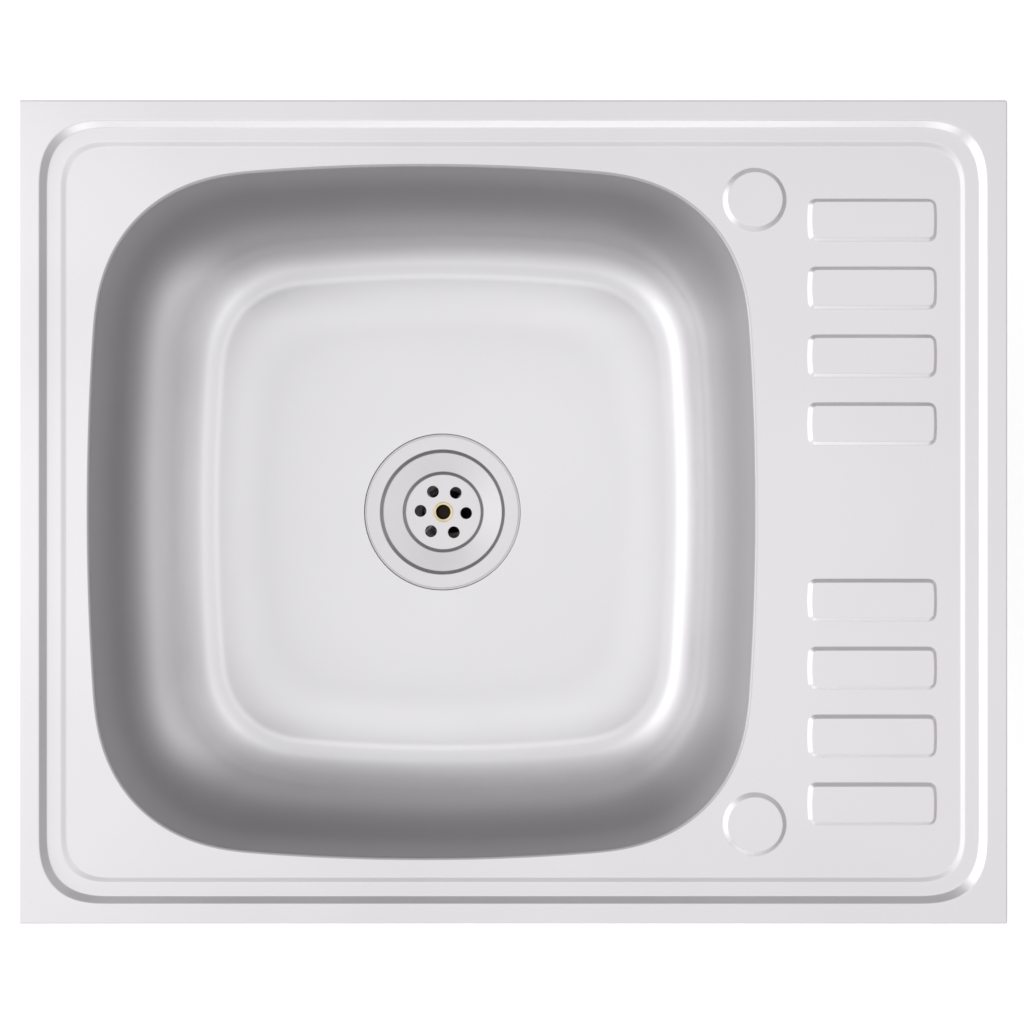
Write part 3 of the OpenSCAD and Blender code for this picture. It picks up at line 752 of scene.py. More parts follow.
@effect(Effect.PAINTED_WALL_SHADE, "painted_wall_shade", {
    "Top": 0.0, "Middle": 0.036, "Rim": 0.75, "Foot": 0.098, "End foot": 0.165,
    "Rear foot": 0.18, "End from": 0.115, "End at": 0.165, "Corner from": 0.14,
    "Corner at": 0.19, "Far corner": 0.6, "Near": 0.04, "Far": 0.13, "Spared": 0.4},
        "Mask", "Depth", "Side", "Inner")
def painted_wall_shade(g: Graph, i: Sockets) -> Sockets:
    """Painted shade: a darker band on the bowl's walls, inside only and weaker on the drainer's
    side.
    """
    half_way, level = 0.1, 0.02
    place = g.node("SeparateXYZ", {0: g.place()})
    depth = g.math("SUBTRACT", DECK_Z * MM, place.outputs[2])
    above = g.ramp(depth, i["Top"], i["Middle"], i["Rim"], 1.0, True)
    side = g.ramp(place.outputs[0], i["Near"], i["Far"], smooth=True)
    off = g.math("ABSOLUTE", g.math("SUBTRACT", place.outputs[0], BOWL_X * MM))
    corner = g.times(side, i["Far corner"])
    straight = g.ramp(off, i["Corner from"], i["Corner at"], 1.0, corner, True)
    end = g.times(straight, g.ramp(
        g.math("ABSOLUTE", place.outputs[1]), i["End from"], i["End at"], smooth=True))
    reach = g.ramp(place.outputs[1], -half_way, half_way, i["End foot"], i["Rear foot"])
    foot = g.ramp(end, 0.0, 1.0, i["Foot"], reach)
    below = g.ramp(depth, i["Middle"], foot, 1.0, 0.0, True)
    band = g.times(above, below)
    # painted light: the straight wall on the drainer's side keeps less of the painted shade
    spared = g.ramp(end, 0.0, 1.0, i["Spared"], 1.0)
    share = g.ramp(side, 0.0, 1.0, 1.0, spared)
    facing = g.node("SeparateXYZ", {0: g.node("TexCoord").outputs["Normal"]})
    inner = g.ramp(facing.outputs[2], -level, level)
    mask = g.times(g.times(band, share, clamp=True), inner)
    return {"Mask": mask, "Depth": depth, "Side": side, "Inner": inner}


@effect(Effect.CREASE, "crease_painted_shade", {"Radius": 0.05, "Width": 0.0015}, "Mask")
def crease_painted_shade(g: Graph, i: Sockets) -> Sockets:
    """Ring of painted shade in a crease about the waste's axis."""
    r = g.radius()
    off = g.math("ABSOLUTE", g.math("SUBTRACT", r, i["Radius"]))
    half = g.times(i["Width"], 0.5)
    return {"Mask": g.ramp(off, half, i["Width"], 1.0, 0.0, True)}


@effect(Effect.SOCKET, "screw_socket", {
    "Radius": 0.0058, "Floor": -0.1412, "Mouth": -0.1300}, "Mask")
def screw_socket(g: Graph, i: Sockets) -> Sockets:
    """Inside of the screw's hollow head, where shade is painted."""
    soft = 0.0002
    r = g.radius()
    high = g.node("SeparateXYZ", {0: g.place()}).outputs[2]
    inside = g.ramp(r, i["Radius"], g.math("ADD", i["Radius"], soft), 1.0, 0.0)
    over = g.ramp(high, i["Floor"], g.math("ADD", i["Floor"], soft))
    under = g.ramp(high, i["Mouth"], g.math("ADD", i["Mouth"], 2 * soft), 1.0, 0.0)
    return {"Mask": g.times(inside, g.times(over, under))}


EFFECTS = Effects()


class Surface(Graph):
    """Graph of a material round its Principled BSDF."""

    def __init__(self, tree: Tree) -> None:
        """Adds the shader to the tree."""
        super().__init__(tree)
        self.shader = self.node("BsdfPrincipled")

    def effect(self, kind: Effect, **values: object) -> Socket:
        """Puts an effect's group into the material.

        Args:
            kind: The effect.
            values: Values or sockets for the group's inputs.

        Returns:
            The group's first output.
        """
        made = self.node("Group", node_tree=EFFECTS.tree(kind))
        for key, value in values.items():
            self.feed(made.inputs[key.capitalize()], value)
        return made.outputs[0]

    def coat(self, colour: Socket, gloss: Socket, smooth: float, rough: float) -> None:
        """Feeds the shader's colour and its roughness.

        Args:
            colour: The colour.
            gloss: What the roughness follows, from 0 to 1.
            smooth: Roughness where that is 0.
            rough: Roughness where that is 1.
        """
        self.feed(self.shader.inputs["Base Color"], colour)
        self.feed(self.shader.inputs["Roughness"], self.ramp(gloss, 0, 1, smooth, rough))

    def bump(self, height: Socket, distance: float) -> None:
        """Feeds a height to the shader's normal through a Bump node.

        Args:
            height: The height, from 0 to 1.
            distance: Height of 1, in metres.
        """
        made = self.node("Bump", {"Distance": distance, "Height": height})
        self.feed(self.shader.inputs["Normal"], made.outputs[0])


@dataclass(frozen=True)
class Finish:
    """Base of the finishes: one material under one name."""

    name: str
    slot: str

    def material(self) -> bpy.types.Material:
        """Gives the material, and makes it when it is first asked for."""
        known = bpy.data.materials.get(self.name)
        if known:
            return known
        made = bpy.data.materials.new(self.name)
        surface = Surface.emptied(made)
        self.dress(surface)
        surface.node("OutputMaterial", {0: surface.shader.outputs[0]})
        return made

    def dress(self, surface: Surface) -> None:
        """Feeds the surface's shader."""
        raise NotImplementedError


@dataclass(frozen=True)
class SatinSteel(Finish):
    """Stainless steel with a fine blasted and brushed grain."""

    pale: Colour = (0.805, 0.785, 0.805)
    dark: Colour = (0.765, 0.745, 0.767)
    rough: float = 0.34
    uneven: float = 0.03
    grain: float = 1400.0
    stretch: Colour = (0.25, 1.0, 1.0)
    relief: float = 0.000004
    turned: bool = False
    # painted shade: colour of the darkened creases
    painted_crease_shade: Colour = (0.36, 0.352, 0.36)
    creases: tuple[tuple[float, float], ...] = ()

    def dress(self, surface: Surface) -> None:
        """Feeds the shader with grain, unevenness and, on turned sheet, rings."""
        grain = surface.effect(Effect.GRAIN, scale=self.grain, stretch=self.stretch)
        cloud = surface.effect(Effect.CLOUD, scale=9.0)
        height = grain
        if self.turned:
            rings = surface.effect(Effect.TURNED, scale=1600.0)
            height = surface.math("ADD", surface.times(rings, 0.8), surface.times(height, 0.3))
        share = surface.math("MULTIPLY_ADD", height, 0.35, surface.times(cloud, 0.65))
        colour = surface.mix(share, self.dark, self.pale)
        surface.shader.inputs["Metallic"].default_value = 1.0
        rough = surface.math("MULTIPLY_ADD", cloud, self.uneven, self.rough)
        surface.feed(surface.shader.inputs["Roughness"],
                     surface.math("MULTIPLY_ADD", height, self.uneven, rough))
        surface.bump(height, self.relief)
        colour = self.tint(surface, colour)
        # painted shade in each crease listed in creases
        for radius, width in self.creases:
            painted_crease_shade = surface.effect(Effect.CREASE, radius=radius, width=width)
            colour = surface.mix(painted_crease_shade, colour, self.painted_crease_shade)
        surface.feed(surface.shader.inputs["Base Color"], colour)

    def tint(self, surface: Surface, colour: Socket) -> Socket:
        """Leaves the colour as it is; finishes that differ by place change it here.

        Args:
            surface: The material's surface.
            colour: The grain's colour.

        Returns:
            The colour to use.
        """
        return colour


@dataclass(frozen=True)
class PaintedLightSteel(SatinSteel):
    """Satin steel with painted shade in a band on the bowl's walls and painted highlights below
    it.
    """

    # painted shade: colour of the darker band on the bowl's walls
    wall_shade_colour: Colour = (0.38, 0.373, 0.383)
    # painted highlight: colour of the bright bands at the wall's foot and the floor's edge, placed
    # by depth and side below
    bright: Colour = (0.97, 0.958, 0.973)
    foot: tuple[float, float, float, float] = (0.048, 0.090, 0.1445, 0.1470)
    far_foot: tuple[float, float] = (0.090, 0.118)
    edge: tuple[float, float, float, float] = (0.1472, 0.1481, 0.1481, 0.1487)
    grazing: Colour = (0.74, 0.735, 0.745)
    floor_rough: float = 0.32
    floor_from: float = 0.140
    floor_at: float = 0.1485

    def tint(self, surface: Surface, colour: Socket) -> Socket:
        """Mixes in the painted shade on the walls and painted highlights at the wall's foot and
        the floor's edge, and eases the floor's gloss.
        """
        wall_shade_mask = surface.effect(Effect.PAINTED_WALL_SHADE)
        depth, side, inner = (wall_shade_mask.node.outputs[key] for key in ("Depth", "Side", "Inner"))
        # painted highlight: a bright band at the wall's foot, starting deeper on the drainer's
        # side, and one at the floor's edge that fades towards the drainer
        start, full = (surface.ramp(side, 0.0, 1.0, near, far)
                       for near, far in zip(self.foot[:2], self.far_foot))
        foot = surface.times(surface.ramp(depth, start, full, smooth=True),
                             surface.ramp(depth, self.foot[2], self.foot[3], 1.0, 0.0, True))
        edge = surface.times(surface.ramp(depth, self.edge[0], self.edge[1], smooth=True),
                             surface.ramp(depth, self.edge[2], self.edge[3], 1.0, 0.0, True))
        edge = surface.times(edge, surface.ramp(side, 0.0, 1.0, 1.0, 0.0))
        for zone in (foot, edge):
            share = surface.times(zone, inner)
            colour = surface.mix(share, colour, self.bright)
        rough = surface.shader.inputs["Roughness"].links[0].from_socket
        change = surface.ramp(depth, self.floor_from, self.floor_at, 0.0,
                              self.floor_rough - self.rough, True)
        surface.feed(surface.shader.inputs["Roughness"], surface.math("ADD", rough, change))
        surface.shader.inputs["Specular Tint"].default_value = (*self.grazing, 1)
        # painted shade mixed in over the bowl's walls
        return surface.mix(wall_shade_mask, colour, self.wall_shade_colour)


@dataclass(frozen=True)
class TurnedBrass(Finish):
    """Brass with turning marks and a slightly tarnished tone."""

    bright: Colour = (0.87, 0.73, 0.47)
    tarnish: Colour = (0.62, 0.46, 0.22)
    # painted shade: near-black colour inside the screw's socket
    painted_socket_shade: Colour = (0.022, 0.018, 0.014)

    def dress(self, surface: Surface) -> None:
        """Feeds the shader with rings, patches of tarnish and painted shade in the screw's socket.
        """
        rings = surface.effect(Effect.TURNED, scale=2600.0)
        cloud = surface.effect(Effect.CLOUD, scale=160.0)
        socket = surface.effect(Effect.SOCKET)
        metal = surface.mix(surface.times(cloud, 0.5), self.bright, self.tarnish)
        surface.shader.inputs["Metallic"].default_value = 1.0
        surface.coat(surface.mix(socket, metal, self.painted_socket_shade), rings, 0.22, 0.36)
        surface.bump(rings, 0.000006)


@dataclass(frozen=True)
class ZincSteel(Finish):
    """Zinc-coated sheet with dull crystal patches."""

    pale: Colour = (0.66, 0.68, 0.70)
    dark: Colour = (0.50, 0.52, 0.55)

    def dress(self, surface: Surface) -> None:
        """Feeds the shader with crystals and scratches."""
        crystal = surface.effect(Effect.SPANGLE, scale=170.0)
        scratch = surface.effect(Effect.GRAIN, scale=700.0, stretch=(1.0, 0.08, 1.0))
        share = surface.math("MULTIPLY_ADD", crystal, 0.7, surface.times(scratch, 0.3))
        surface.shader.inputs["Metallic"].default_value = 0.9
        surface.coat(surface.mix(share, self.dark, self.pale), share, 0.36, 0.52)
        surface.bump(share, 0.00001)


@dataclass(frozen=True)
class MouldedPlastic(Finish):
    """White polypropylene with a faint texture, sink marks and a parting line."""

    pale: Colour = (0.86, 0.86, 0.845)
    shade: Colour = (0.80, 0.80, 0.775)

    def dress(self, surface: Surface) -> None:
        """Feeds the shader with texture, unevenness and the parting line."""
        fine = surface.effect(Effect.GRAIN, scale=2200.0)
        cloud = surface.effect(Effect.CLOUD, scale=26.0)
        seam = surface.effect(Effect.SEAM)
        fleck = surface.effect(Effect.FLECK, scale=240.0, size=0.12)
        share = surface.math("MULTIPLY_ADD", cloud, 0.6, surface.times(fleck, 0.6), clamp=True)
        surface.coat(surface.mix(share, self.pale, self.shade), fine, 0.36, 0.46)
        surface.shader.inputs["IOR"].default_value = 1.49
        surface.shader.inputs["Subsurface Weight"].default_value = 0.08
        surface.shader.inputs["Subsurface Radius"].default_value = (0.004, 0.004, 0.004)
        height = surface.math("MULTIPLY_ADD", seam, 1.0, surface.times(fine, 0.08))
        surface.bump(height, 0.00012)


@dataclass(frozen=True)
class MouldedRubber(Finish):
    """Matt black rubber with a bloom of fine dust."""

    base: Colour = (0.028, 0.028, 0.031)
    dust: Colour = (0.085, 0.085, 0.09)

    def dress(self, surface: Surface) -> None:
        """Feeds the shader with dust and fine moulding texture."""
        fine = surface.effect(Effect.GRAIN, scale=1800.0)
        cloud = surface.effect(Effect.CLOUD, scale=90.0)
        share = surface.times(cloud, fine)
        surface.coat(surface.mix(share, self.base, self.dust), fine, 0.62, 0.8)
        surface.bump(fine, 0.00003)


@dataclass(frozen=True)
class Bitumen(Finish):
    """Damping sheet: dark, granular and rolled."""

    base: Colour = (0.075, 0.078, 0.085)
    grit: Colour = (0.17, 0.175, 0.185)

    def dress(self, surface: Surface) -> None:
        """Feeds the shader with grit and rolled texture."""
        fleck = surface.effect(Effect.FLECK, scale=520.0, size=0.7)
        roll = surface.effect(Effect.GRAIN, scale=260.0, stretch=(1.0, 0.35, 1.0))
        share = surface.math("MULTIPLY_ADD", fleck, 0.6, surface.times(roll, 0.3), clamp=True)
        surface.coat(surface.mix(share, self.base, self.grit), share, 0.82, 0.66)
        surface.bump(share, 0.0002)


DECK_STEEL = SatinSteel("deck_satin_steel", "deck_steel")
# The bowl's steel has painted shade on its walls and painted highlights at their foot and at the
# floor's edge.
BOWL_STEEL = PaintedLightSteel("bowl_satin_steel", "bowl_steel", rough=0.52,
                        pale=(0.81, 0.798, 0.811), dark=(0.77, 0.758, 0.773),
                        # painted shade in the crease round the strainer's recess
                        painted_crease_shade=(0.68, 0.67, 0.68), creases=((0.0590, 0.0013),))
# The strainer's steel has painted shade in the creases at its dish's two steps.
STRAINER_STEEL = SatinSteel("strainer_turned_steel", "strainer_steel", rough=0.42,
                            pale=(0.80, 0.783, 0.797), dark=(0.76, 0.743, 0.759),
                            turned=True, relief=0.000003,
                            creases=((0.0466, 0.0016), (0.0300, 0.0016)))
BRASS = TurnedBrass("turned_brass", "brass")
ZINC = ZincSteel("zinc_coat", "zinc_steel")
PLASTIC = MouldedPlastic("white_moulded_plastic", "white_plastic")
RUBBER = MouldedRubber("black_moulded_rubber", "black_rubber")
PAD = Bitumen("bitumen_sheet", "damping_pad")


def finish_piece(thing: Thing, finish: Finish, body: str, *nodes: str) -> None:
    """Gives a new piece its material and body, and hides the CAD nodes that it replaces.

    Args:
        thing: The piece.
        finish: Its finish.
        body: The body that it moves with.
        nodes: The CAD nodes that it replaces.
    """
    crisp(thing)
    thing.data.materials.clear()
    thing.data.materials.append(finish.material())
    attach(thing, body)
    if nodes:
        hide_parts(*nodes)
    LOG.info("%s: %d faces, %s", thing.name, len(thing.data.polygons), finish.name)


# ---------------------------------------------------------------- the sink

MOUTH = Outline(410.6, 426.0, 98.3, 2.667, 0.057, 0.067, x=BOWL_X, corner_steps=40, side_steps=14)


@dataclass
class DeckPanel:
    """Pressed deck with border, steps, ribs, tap seats, skirt and return flange."""

    skirt_h: float = 34.0
    length: float = 600.0
    width: float = 500.0
    border: float = 12.2
    step: tuple[float, float] = (3.8, 4.0)
    terrace: float = 7.8
    lip: tuple[float, float] = (3.0, 1.5)
    rim_r: float = 43.0
    rim_power: float = 2.7
    fold_r: float = 1.2
    return_w: float = 14.0
    screw_inset: float = 8.5
    screw_r: float = 2.5
    rib_h: float = 2.0
    rib_run: float = 2.7
    seat_run: float = 3.4
    guard: float = 0.8
    corner_r: float = 1.6
    fold_w: float = 1.55
    rib: Outline = Outline(79.5, 26.7, 5.2, 2.3, 0.018, 0.006, x=219.6, corner_steps=10,
                           side_steps=6)
    rib_count: int = 4
    first_rib_y: float = 53.9
    rib_pitch: float = 41.5
    seat_x: float = 147.7
    seat_y: float = 190.8
    seat_r: float = 19.8
    ribs: list[Outline] = field(default_factory=list)

    def __post_init__(self) -> None:
        """Lays out the drainer's ribs."""
        self.ribs += [replace(self.rib, y=side * (self.first_rib_y + i * self.rib_pitch))
                      for side in (-1, 1) for i in range(self.rib_count)]

    @staticmethod
    def slope(shape: Shape, start: float, run: float, top: float,
              drop: float, soft: float = 0.16, steps: int = 16) -> list[Ring]:
        """Rings down or up an eased slope, with a level guard ring at both ends.

        Args:
            shape: Gives the ring at an inset and a height.
            start: Inset where the slope starts.
            run: Width of the slope.
            top: Height where the slope starts.
            drop: Height that it loses.
            soft: Share of the run that each rounded end takes.
            steps: Steps along the slope.

        Returns:
            The rings, in order.
        """
        guard = 0.5
        rings = [shape(start - guard, top)]
        for i in range(steps + 1):
            rings.append(shape(start + run * i / steps, top - drop * eased(i / steps, soft)))
        rings.append(shape(start + run + guard, top - drop))
        return rings

    def build(self) -> None:
        """Makes the deck."""
        sheet = Patchwork()
        skirt = Outline(self.length, self.width, self.corner_r, corner_steps=5, side_steps=3)
        top, r = self.skirt_h, self.fold_r
        rings = [skirt.ring(self.fold_w, 0.0)]
        rings += [skirt.ring(r * (1 - math.sin(t)), r * (1 - math.cos(t))) for t in quarter(6)]
        rings += [skirt.ring(r * (1 - math.cos(t)), top - r * (1 - math.sin(t)))
                  for t in quarter(6)]
        rings.append(skirt.ring(self.fold_w, top))
        sheet.strip(rings)

        rim = Outline(self.length - 2 * self.border, self.width - 2 * self.border, self.rim_r,
                      self.rim_power, corner_steps=26, side_steps=6)
        step_run, step_drop = self.step
        lip_run, lip_drop = self.lip
        step = self.slope(rim.ring, 0.0, step_run, top, step_drop)
        lip = self.slope(rim.ring, step_run + self.terrace, lip_run, top - step_drop, lip_drop)
        sheet.flat([rings[-1], step[0]])
        sheet.strip(step)
        sheet.strip([step[-1], lip[0]])
        sheet.strip(lip)

        holes = [MOUTH.ring(-self.guard, DECK_Z)]
        sheet.strip([MOUTH.ring(0.0, DECK_Z), holes[0]])
        forms: list[tuple[Shape, float]] = [(rib.ring, self.rib_run) for rib in self.ribs]
        forms += [(lambda inset, z, y=side * self.seat_y: circle(
            self.seat_r - inset, z, self.seat_x, y, 72), self.seat_run) for side in (-1, 1)]
        for shape, run in forms:
            rise = self.slope(shape, 0.0, run, DECK_Z, -self.rib_h)
            holes.append(rise[0])
            sheet.strip(rise)
            sheet.flat([rise[-1]])
        sheet.flat([lip[-1], *holes])

        inner = Outline(self.length - 2 * self.return_w, self.width - 2 * self.return_w, 1.5,
                        corner_steps=3, side_steps=3).ring(0.0, 0.0)
        screws = [circle(self.screw_r, 0.0, sx * (self.length / 2 - self.screw_inset),
                         sy * (self.width / 2 - self.screw_inset), 28)
                  for sx in (-1, 1) for sy in (-1, 1)]
        sheet.flat([rings[0], inner, *screws])
        deck = sheet.build("deck_panel_fine")
        face_up(deck, (0.17, 0.0, DECK_Z * MM))
        thicken(deck, SHEET_T)
        finish_piece(deck, DECK_STEEL, "sink", "deck_panel")


@dataclass
class Bowl:
    """Drawn bowl with a rolled edge, drafted walls and the strainer's recess."""

    depth: float = 150.0
    fall: float = 2.0
    slope: float = 1.8
    edge_r: float = 1.6
    draft: float = 3.5
    floor_r: float = 28.0
    fall_r: float = 73.6
    flat_r: float = 65.6
    recess_r: float = 59.6
    recess_h: float = 2.4
    hole_r: float = 48.5
    lead: float = 0.06
    ledge_edge: float = 0.5
    floor_run: float = 110.0

    def profile(self) -> list[tuple[float, float]]:
        """Inset and height from the mouth down to the floor's edge."""
        lean = math.radians(self.draft)
        floor_z = DECK_Z - self.depth + self.fall
        arc_z = floor_z + self.floor_r
        start = DECK_Z - self.edge_r * (1 - math.sin(lean))
        drop = start - (arc_z - self.floor_r * math.sin(lean))
        edge = self.edge_r * math.cos(lean)
        foot = edge + drop * math.tan(lean)
        arc_inset = foot + self.floor_r * math.cos(lean)
        path = [(0.0, DECK_Z)]
        for i in range(9):
            t = (math.pi / 2 - lean) * i / 8
            path.append((self.lead + (self.edge_r - self.lead) * math.sin(t),
                         DECK_Z - self.edge_r * (1 - math.cos(t))))
        path += [(edge + (foot - edge) * i / 8, start - drop * i / 8) for i in range(1, 8)]
        for i in range(29):
            t = lean + (math.pi / 2 - lean) * i / 28
            path.append((arc_inset - self.floor_r * math.cos(t),
                         arc_z - self.floor_r * math.sin(t)))
        return path

    def floor_ring(self, share: float, below: float = 0.0) -> Ring:
        """Ring of the floor between the wall's foot and the level middle.

        Args:
            share: Place on the way, 0 at the wall and 1 at the level middle.
            below: Depth under the floor's surface.

        Returns:
            The ring.
        """
        inset, z = self.profile()[-1]
        about = MOUTH.ring(inset, z)[:, :2] - [BOWL_X, 0]
        flat = about * (1 - share) + self.outward(about) * self.fall_r * share + [BOWL_X, 0]
        return raised(flat, z - below - self.slope * share)

    @staticmethod
    def outward(about: np.ndarray) -> np.ndarray:
        """Gives the directions from the waste's axis to points about it."""
        return about / np.linalg.norm(about, axis=1)[:, None]

    def pad(self, near: float = 0.92, far: float = 0.12, top: float = 0.95,
            thickness: float = 2.5, edge: float = 0.6) -> None:
        """Makes the damping pad that is glued under the floor.

        Args:
            near: The floor's share at the pad's inner edge.
            far: The floor's share at its outer edge.
            top: Depth of its upper side under the floor's surface.
            thickness: Its thickness.
            edge: Radius of its edges.
        """
        lead = edge / self.floor_run
        path = [(far, top), (near, top)]
        rounding = quarter(4)
        path += [(near - lead * (1 - math.cos(t)), top + thickness - edge * (1 - math.sin(t)))
                 for t in rounding]
        path += [(near + (far - near) * i / 8, top + thickness) for i in range(1, 8)]
        path += [(far + lead * (1 - math.sin(t)), top + thickness - edge * (1 - math.cos(t)))
                 for t in rounding]
        skin = Patchwork()
        skin.strip([self.floor_ring(share, below) for share, below in path], loop=True)
        pad = skin.build("sound_pad_fine")
        finish_piece(pad, PAD, "sink", "sound_pad")

    def build(self) -> None:
        """Makes the bowl."""
        path = self.profile()
        rings = [MOUTH.ring(inset, z) for inset, z in path]
        rings += [self.floor_ring(i / 16) for i in range(1, 17)]
        unit = self.outward(rings[-1][:, :2] - [BOWL_X, 0])
        floor_z = DECK_Z - self.depth
        ledge_z = floor_z - self.recess_h
        r, edge = self.recess_r, self.ledge_edge
        inner = [(self.flat_r, floor_z), (r + edge + 0.4, floor_z), (r + edge, floor_z)]
        inner += [(r + edge * (1 - math.sin(t)), floor_z - edge * (1 - math.cos(t)))
                  for t in (0.52, 1.05, math.pi / 2)]
        inner += [(r, ledge_z + 0.4), (r - 0.12, ledge_z + 0.12), (r - 0.4, ledge_z),
                  (r - 0.8, ledge_z), (self.hole_r + 0.4, ledge_z), (self.hole_r, ledge_z)]
        rings += [raised(unit * radius + [BOWL_X, 0], height) for radius, height in inner]
        skin = Patchwork()
        skin.strip(rings)
        bowl = skin.build("bowl_fine", weld=0.001)
        face_up(bowl, ((BOWL_X + 100) * MM, 0.0, floor_z * MM))
        thicken(bowl, SHEET_T)
        finish_piece(bowl, BOWL_STEEL, "sink", "bowl")


@dataclass
class Strainer:
    """Pressed strainer with its perforated plate, and the screw that holds it."""

    flange_z: float = -121.7
    plate_z: float = -130.4
    thickness: float = 1.0
    plate_r: float = 27.6
    hole_r: float = 4.45
    hole_ring_r: float = 17.65
    first_hole: float = -2.8
    centre_r: float = 7.2
    steps: int = 160

    def sheet_path(self) -> np.ndarray:
        """Profile of the sheet from below the plate, round the flange and back."""
        upper = [(58.0, self.flange_z), (47.8, self.flange_z), (45.2, self.flange_z - 2.5),
                 (31.2, self.flange_z - 6.5), (28.7, self.plate_z), (self.plate_r, self.plate_z)]
        soft = [0.3, 0.9, 0.9, 0.8, 0.8, 0.0]
        knots = [Knot(r, z - self.thickness, f) for (r, z), f in zip(upper[::-1], soft[::-1])]
        knots += [Knot(r, z, f) for (r, z), f in zip(upper, soft)]
        return filleted(knots, 5)[:, :2]

    def hole(self, sheet: Patchwork, radius: float, x: float, y: float, steps: int
             ) -> tuple[Ring, Ring]:
        """Adds a hole's rounded upper edge and its wall.

        Args:
            sheet: The surface that the hole goes into.
            radius: The hole's radius.
            x: Its centre along X.
            y: Its centre along Y.
            steps: Points round it.

        Returns:
            The hole's rings in the plate's upper and lower face.
        """
        edge, foot = 0.35, self.plate_z - self.thickness
        rings = [circle(radius + edge + 0.15, self.plate_z, x, y, steps)]
        for t in quarter(4):
            rings.append(circle(radius + edge * (1 - math.sin(t)),
                                self.plate_z - edge * (1 - math.cos(t)), x, y, steps))
        rings += [circle(radius, foot, x, y, steps), circle(radius + 0.15, foot, x, y, steps)]
        sheet.strip(rings)
        return rings[0], rings[-1]

    def build(self) -> None:
        """Makes the strainer and its screw."""
        path = self.sheet_path()
        sheet = Patchwork()
        turns = np.linspace(0, 2 * math.pi, self.steps, endpoint=False)
        sheet.strip([np.column_stack([BOWL_X + path[:, 0] * math.cos(turn),
                                      path[:, 0] * math.sin(turn), path[:, 1]])
                     for turn in turns], loop=True, closed=False)
        above, below = [], []
        for i in range(6):
            turn = math.radians(self.first_hole + 60 * i)
            pair = self.hole(sheet, self.hole_r, BOWL_X + self.hole_ring_r * math.cos(turn),
                             self.hole_ring_r * math.sin(turn), 48)
            above.append(pair[0])
            below.append(pair[1])
        pair = self.hole(sheet, self.centre_r, BOWL_X, 0.0, 64)
        for z, loops in ((self.plate_z, [*above, pair[0]]),
                         (self.plate_z - self.thickness, [*below, pair[1]])):
            sheet.flat([circle(self.plate_r, z, BOWL_X, 0.0, self.steps), *loops])
        finish_piece(sheet.build("strainer_fine"), STRAINER_STEEL, "sink", "strainer_dish")
        screw = Lathe.of([
            (0, -140.5), (5.2, -140.5, 0.4), (5.55, -139.8, 0.4),
            (5.55, -129.4, 0.35), (7.6, -129.4, 0.5), (7.6, -130.38, 0.1),
            (6.85, -130.45, 0.1), (6.85, -143, 0.4), (4.0, -143, 0.2),
            (4.0, -144.5, 0, 0, 0.3), (4.0, -146, 0, 0, 1),
            (4.0, -158.6, 0, 0, 1), (3.6, -160, 0.2), (0, -160)],
            steps=72, pitch=1.25, depth=0.6)
        finish_piece(screw.build("clamp_screw_fine"), BRASS, "sink", "clamp_screw")


@dataclass
class Stiffener:
    """Hat-shaped rail under the deck between bowl and drainer."""

    x: float = 166.275
    length: float = 320.0
    foot: float = 10.0
    web: float = 6.0
    height: float = 10.0
    thickness: float = 1.0
    bend_r: float = 1.5

    def build(self) -> None:
        """Makes the rail."""
        t, small = self.thickness, self.bend_r - self.thickness
        half = [(self.foot, 0, 0.3), (self.foot, -t, 0.3), (self.web, -t, small),
                (self.web, -self.height, self.bend_r)]
        inner = [(self.web - t, t - self.height, small), (self.web - t, 0, self.bend_r)]
        knots = [Knot(*k) for k in half]
        knots += [Knot(-x, z, f) for x, z, f in reversed(half)]
        knots += [Knot(-x, z, f) for x, z, f in reversed(inner)]
        knots += [Knot(*k) for k in inner]
        path = filleted(knots, 5)[:, :2]
        top = DECK_Z - SHEET_T
        rings = [np.column_stack([path[:, 0] + self.x, np.full(len(path), y), path[:, 1] + top])
                 for y in np.linspace(-self.length / 2, self.length / 2, 9)]
        skin = Patchwork()
        skin.strip(rings)
        for ring in (rings[0], rings[-1]):
            skin.add(ring, [tuple(range(len(ring)))])
        rail = skin.build("deck_stiffener_fine")
        finish_piece(rail, ZINC, "sink", "deck_stiffener")


@dataclass
class CornerPlates:
    """Four plates on the return flange that take the cabinet's screws."""

    leg: float = 44.0
    edge: float = 1.1
    width: float = 14.0
    low: float = 0.8
    thickness: float = 1.5

    def build(self, deck: DeckPanel) -> None:
        """Makes the plates.

        Args:
            deck: The deck whose corners they stiffen.
        """
        a, b = deck.length / 2 - self.edge, deck.width / 2 - self.edge
        reach = self.width - self.edge
        shape = [(0, 0), (-self.leg, 0), (-self.leg, -reach), (-reach, -self.leg), (0, -self.leg)]
        sheet = Patchwork()
        for sx in (-1, 1):
            for sy in (-1, 1):
                corners = tuple((sx * (a + x), sy * (b + y)) for x, y in shape)
                hole = (sx * (deck.length / 2 - deck.screw_inset),
                        sy * (deck.width / 2 - deck.screw_inset))
                slab(sheet, Plate(corners).ring, self.low, self.low + self.thickness, 0.25,
                     [lambda i, z, at=hole: circle(deck.screw_r - i, z, *at, 28)])
        plates = sheet.build("corner_plates_fine")
        finish_piece(plates, ZINC, "sink", "corner_plates")


# ---------------------------------------------------------------- waste and trap

def turned(node: str, finish: Finish, body: str, knots: Sequence[Sequence[float]],
           **plan: object) -> None:
    """Makes a turned or moulded piece in place of a CAD node.

    Args:
        node: The node.
        finish: The piece's finish.
        body: The body that it moves with.
        knots: Its profile: radius, height, fillet, grip share and thread share.
        plan: The lathe's other fields.
    """
    finish_piece(Lathe.of(knots, **plan).build(node + "_fine"), finish, body, node)


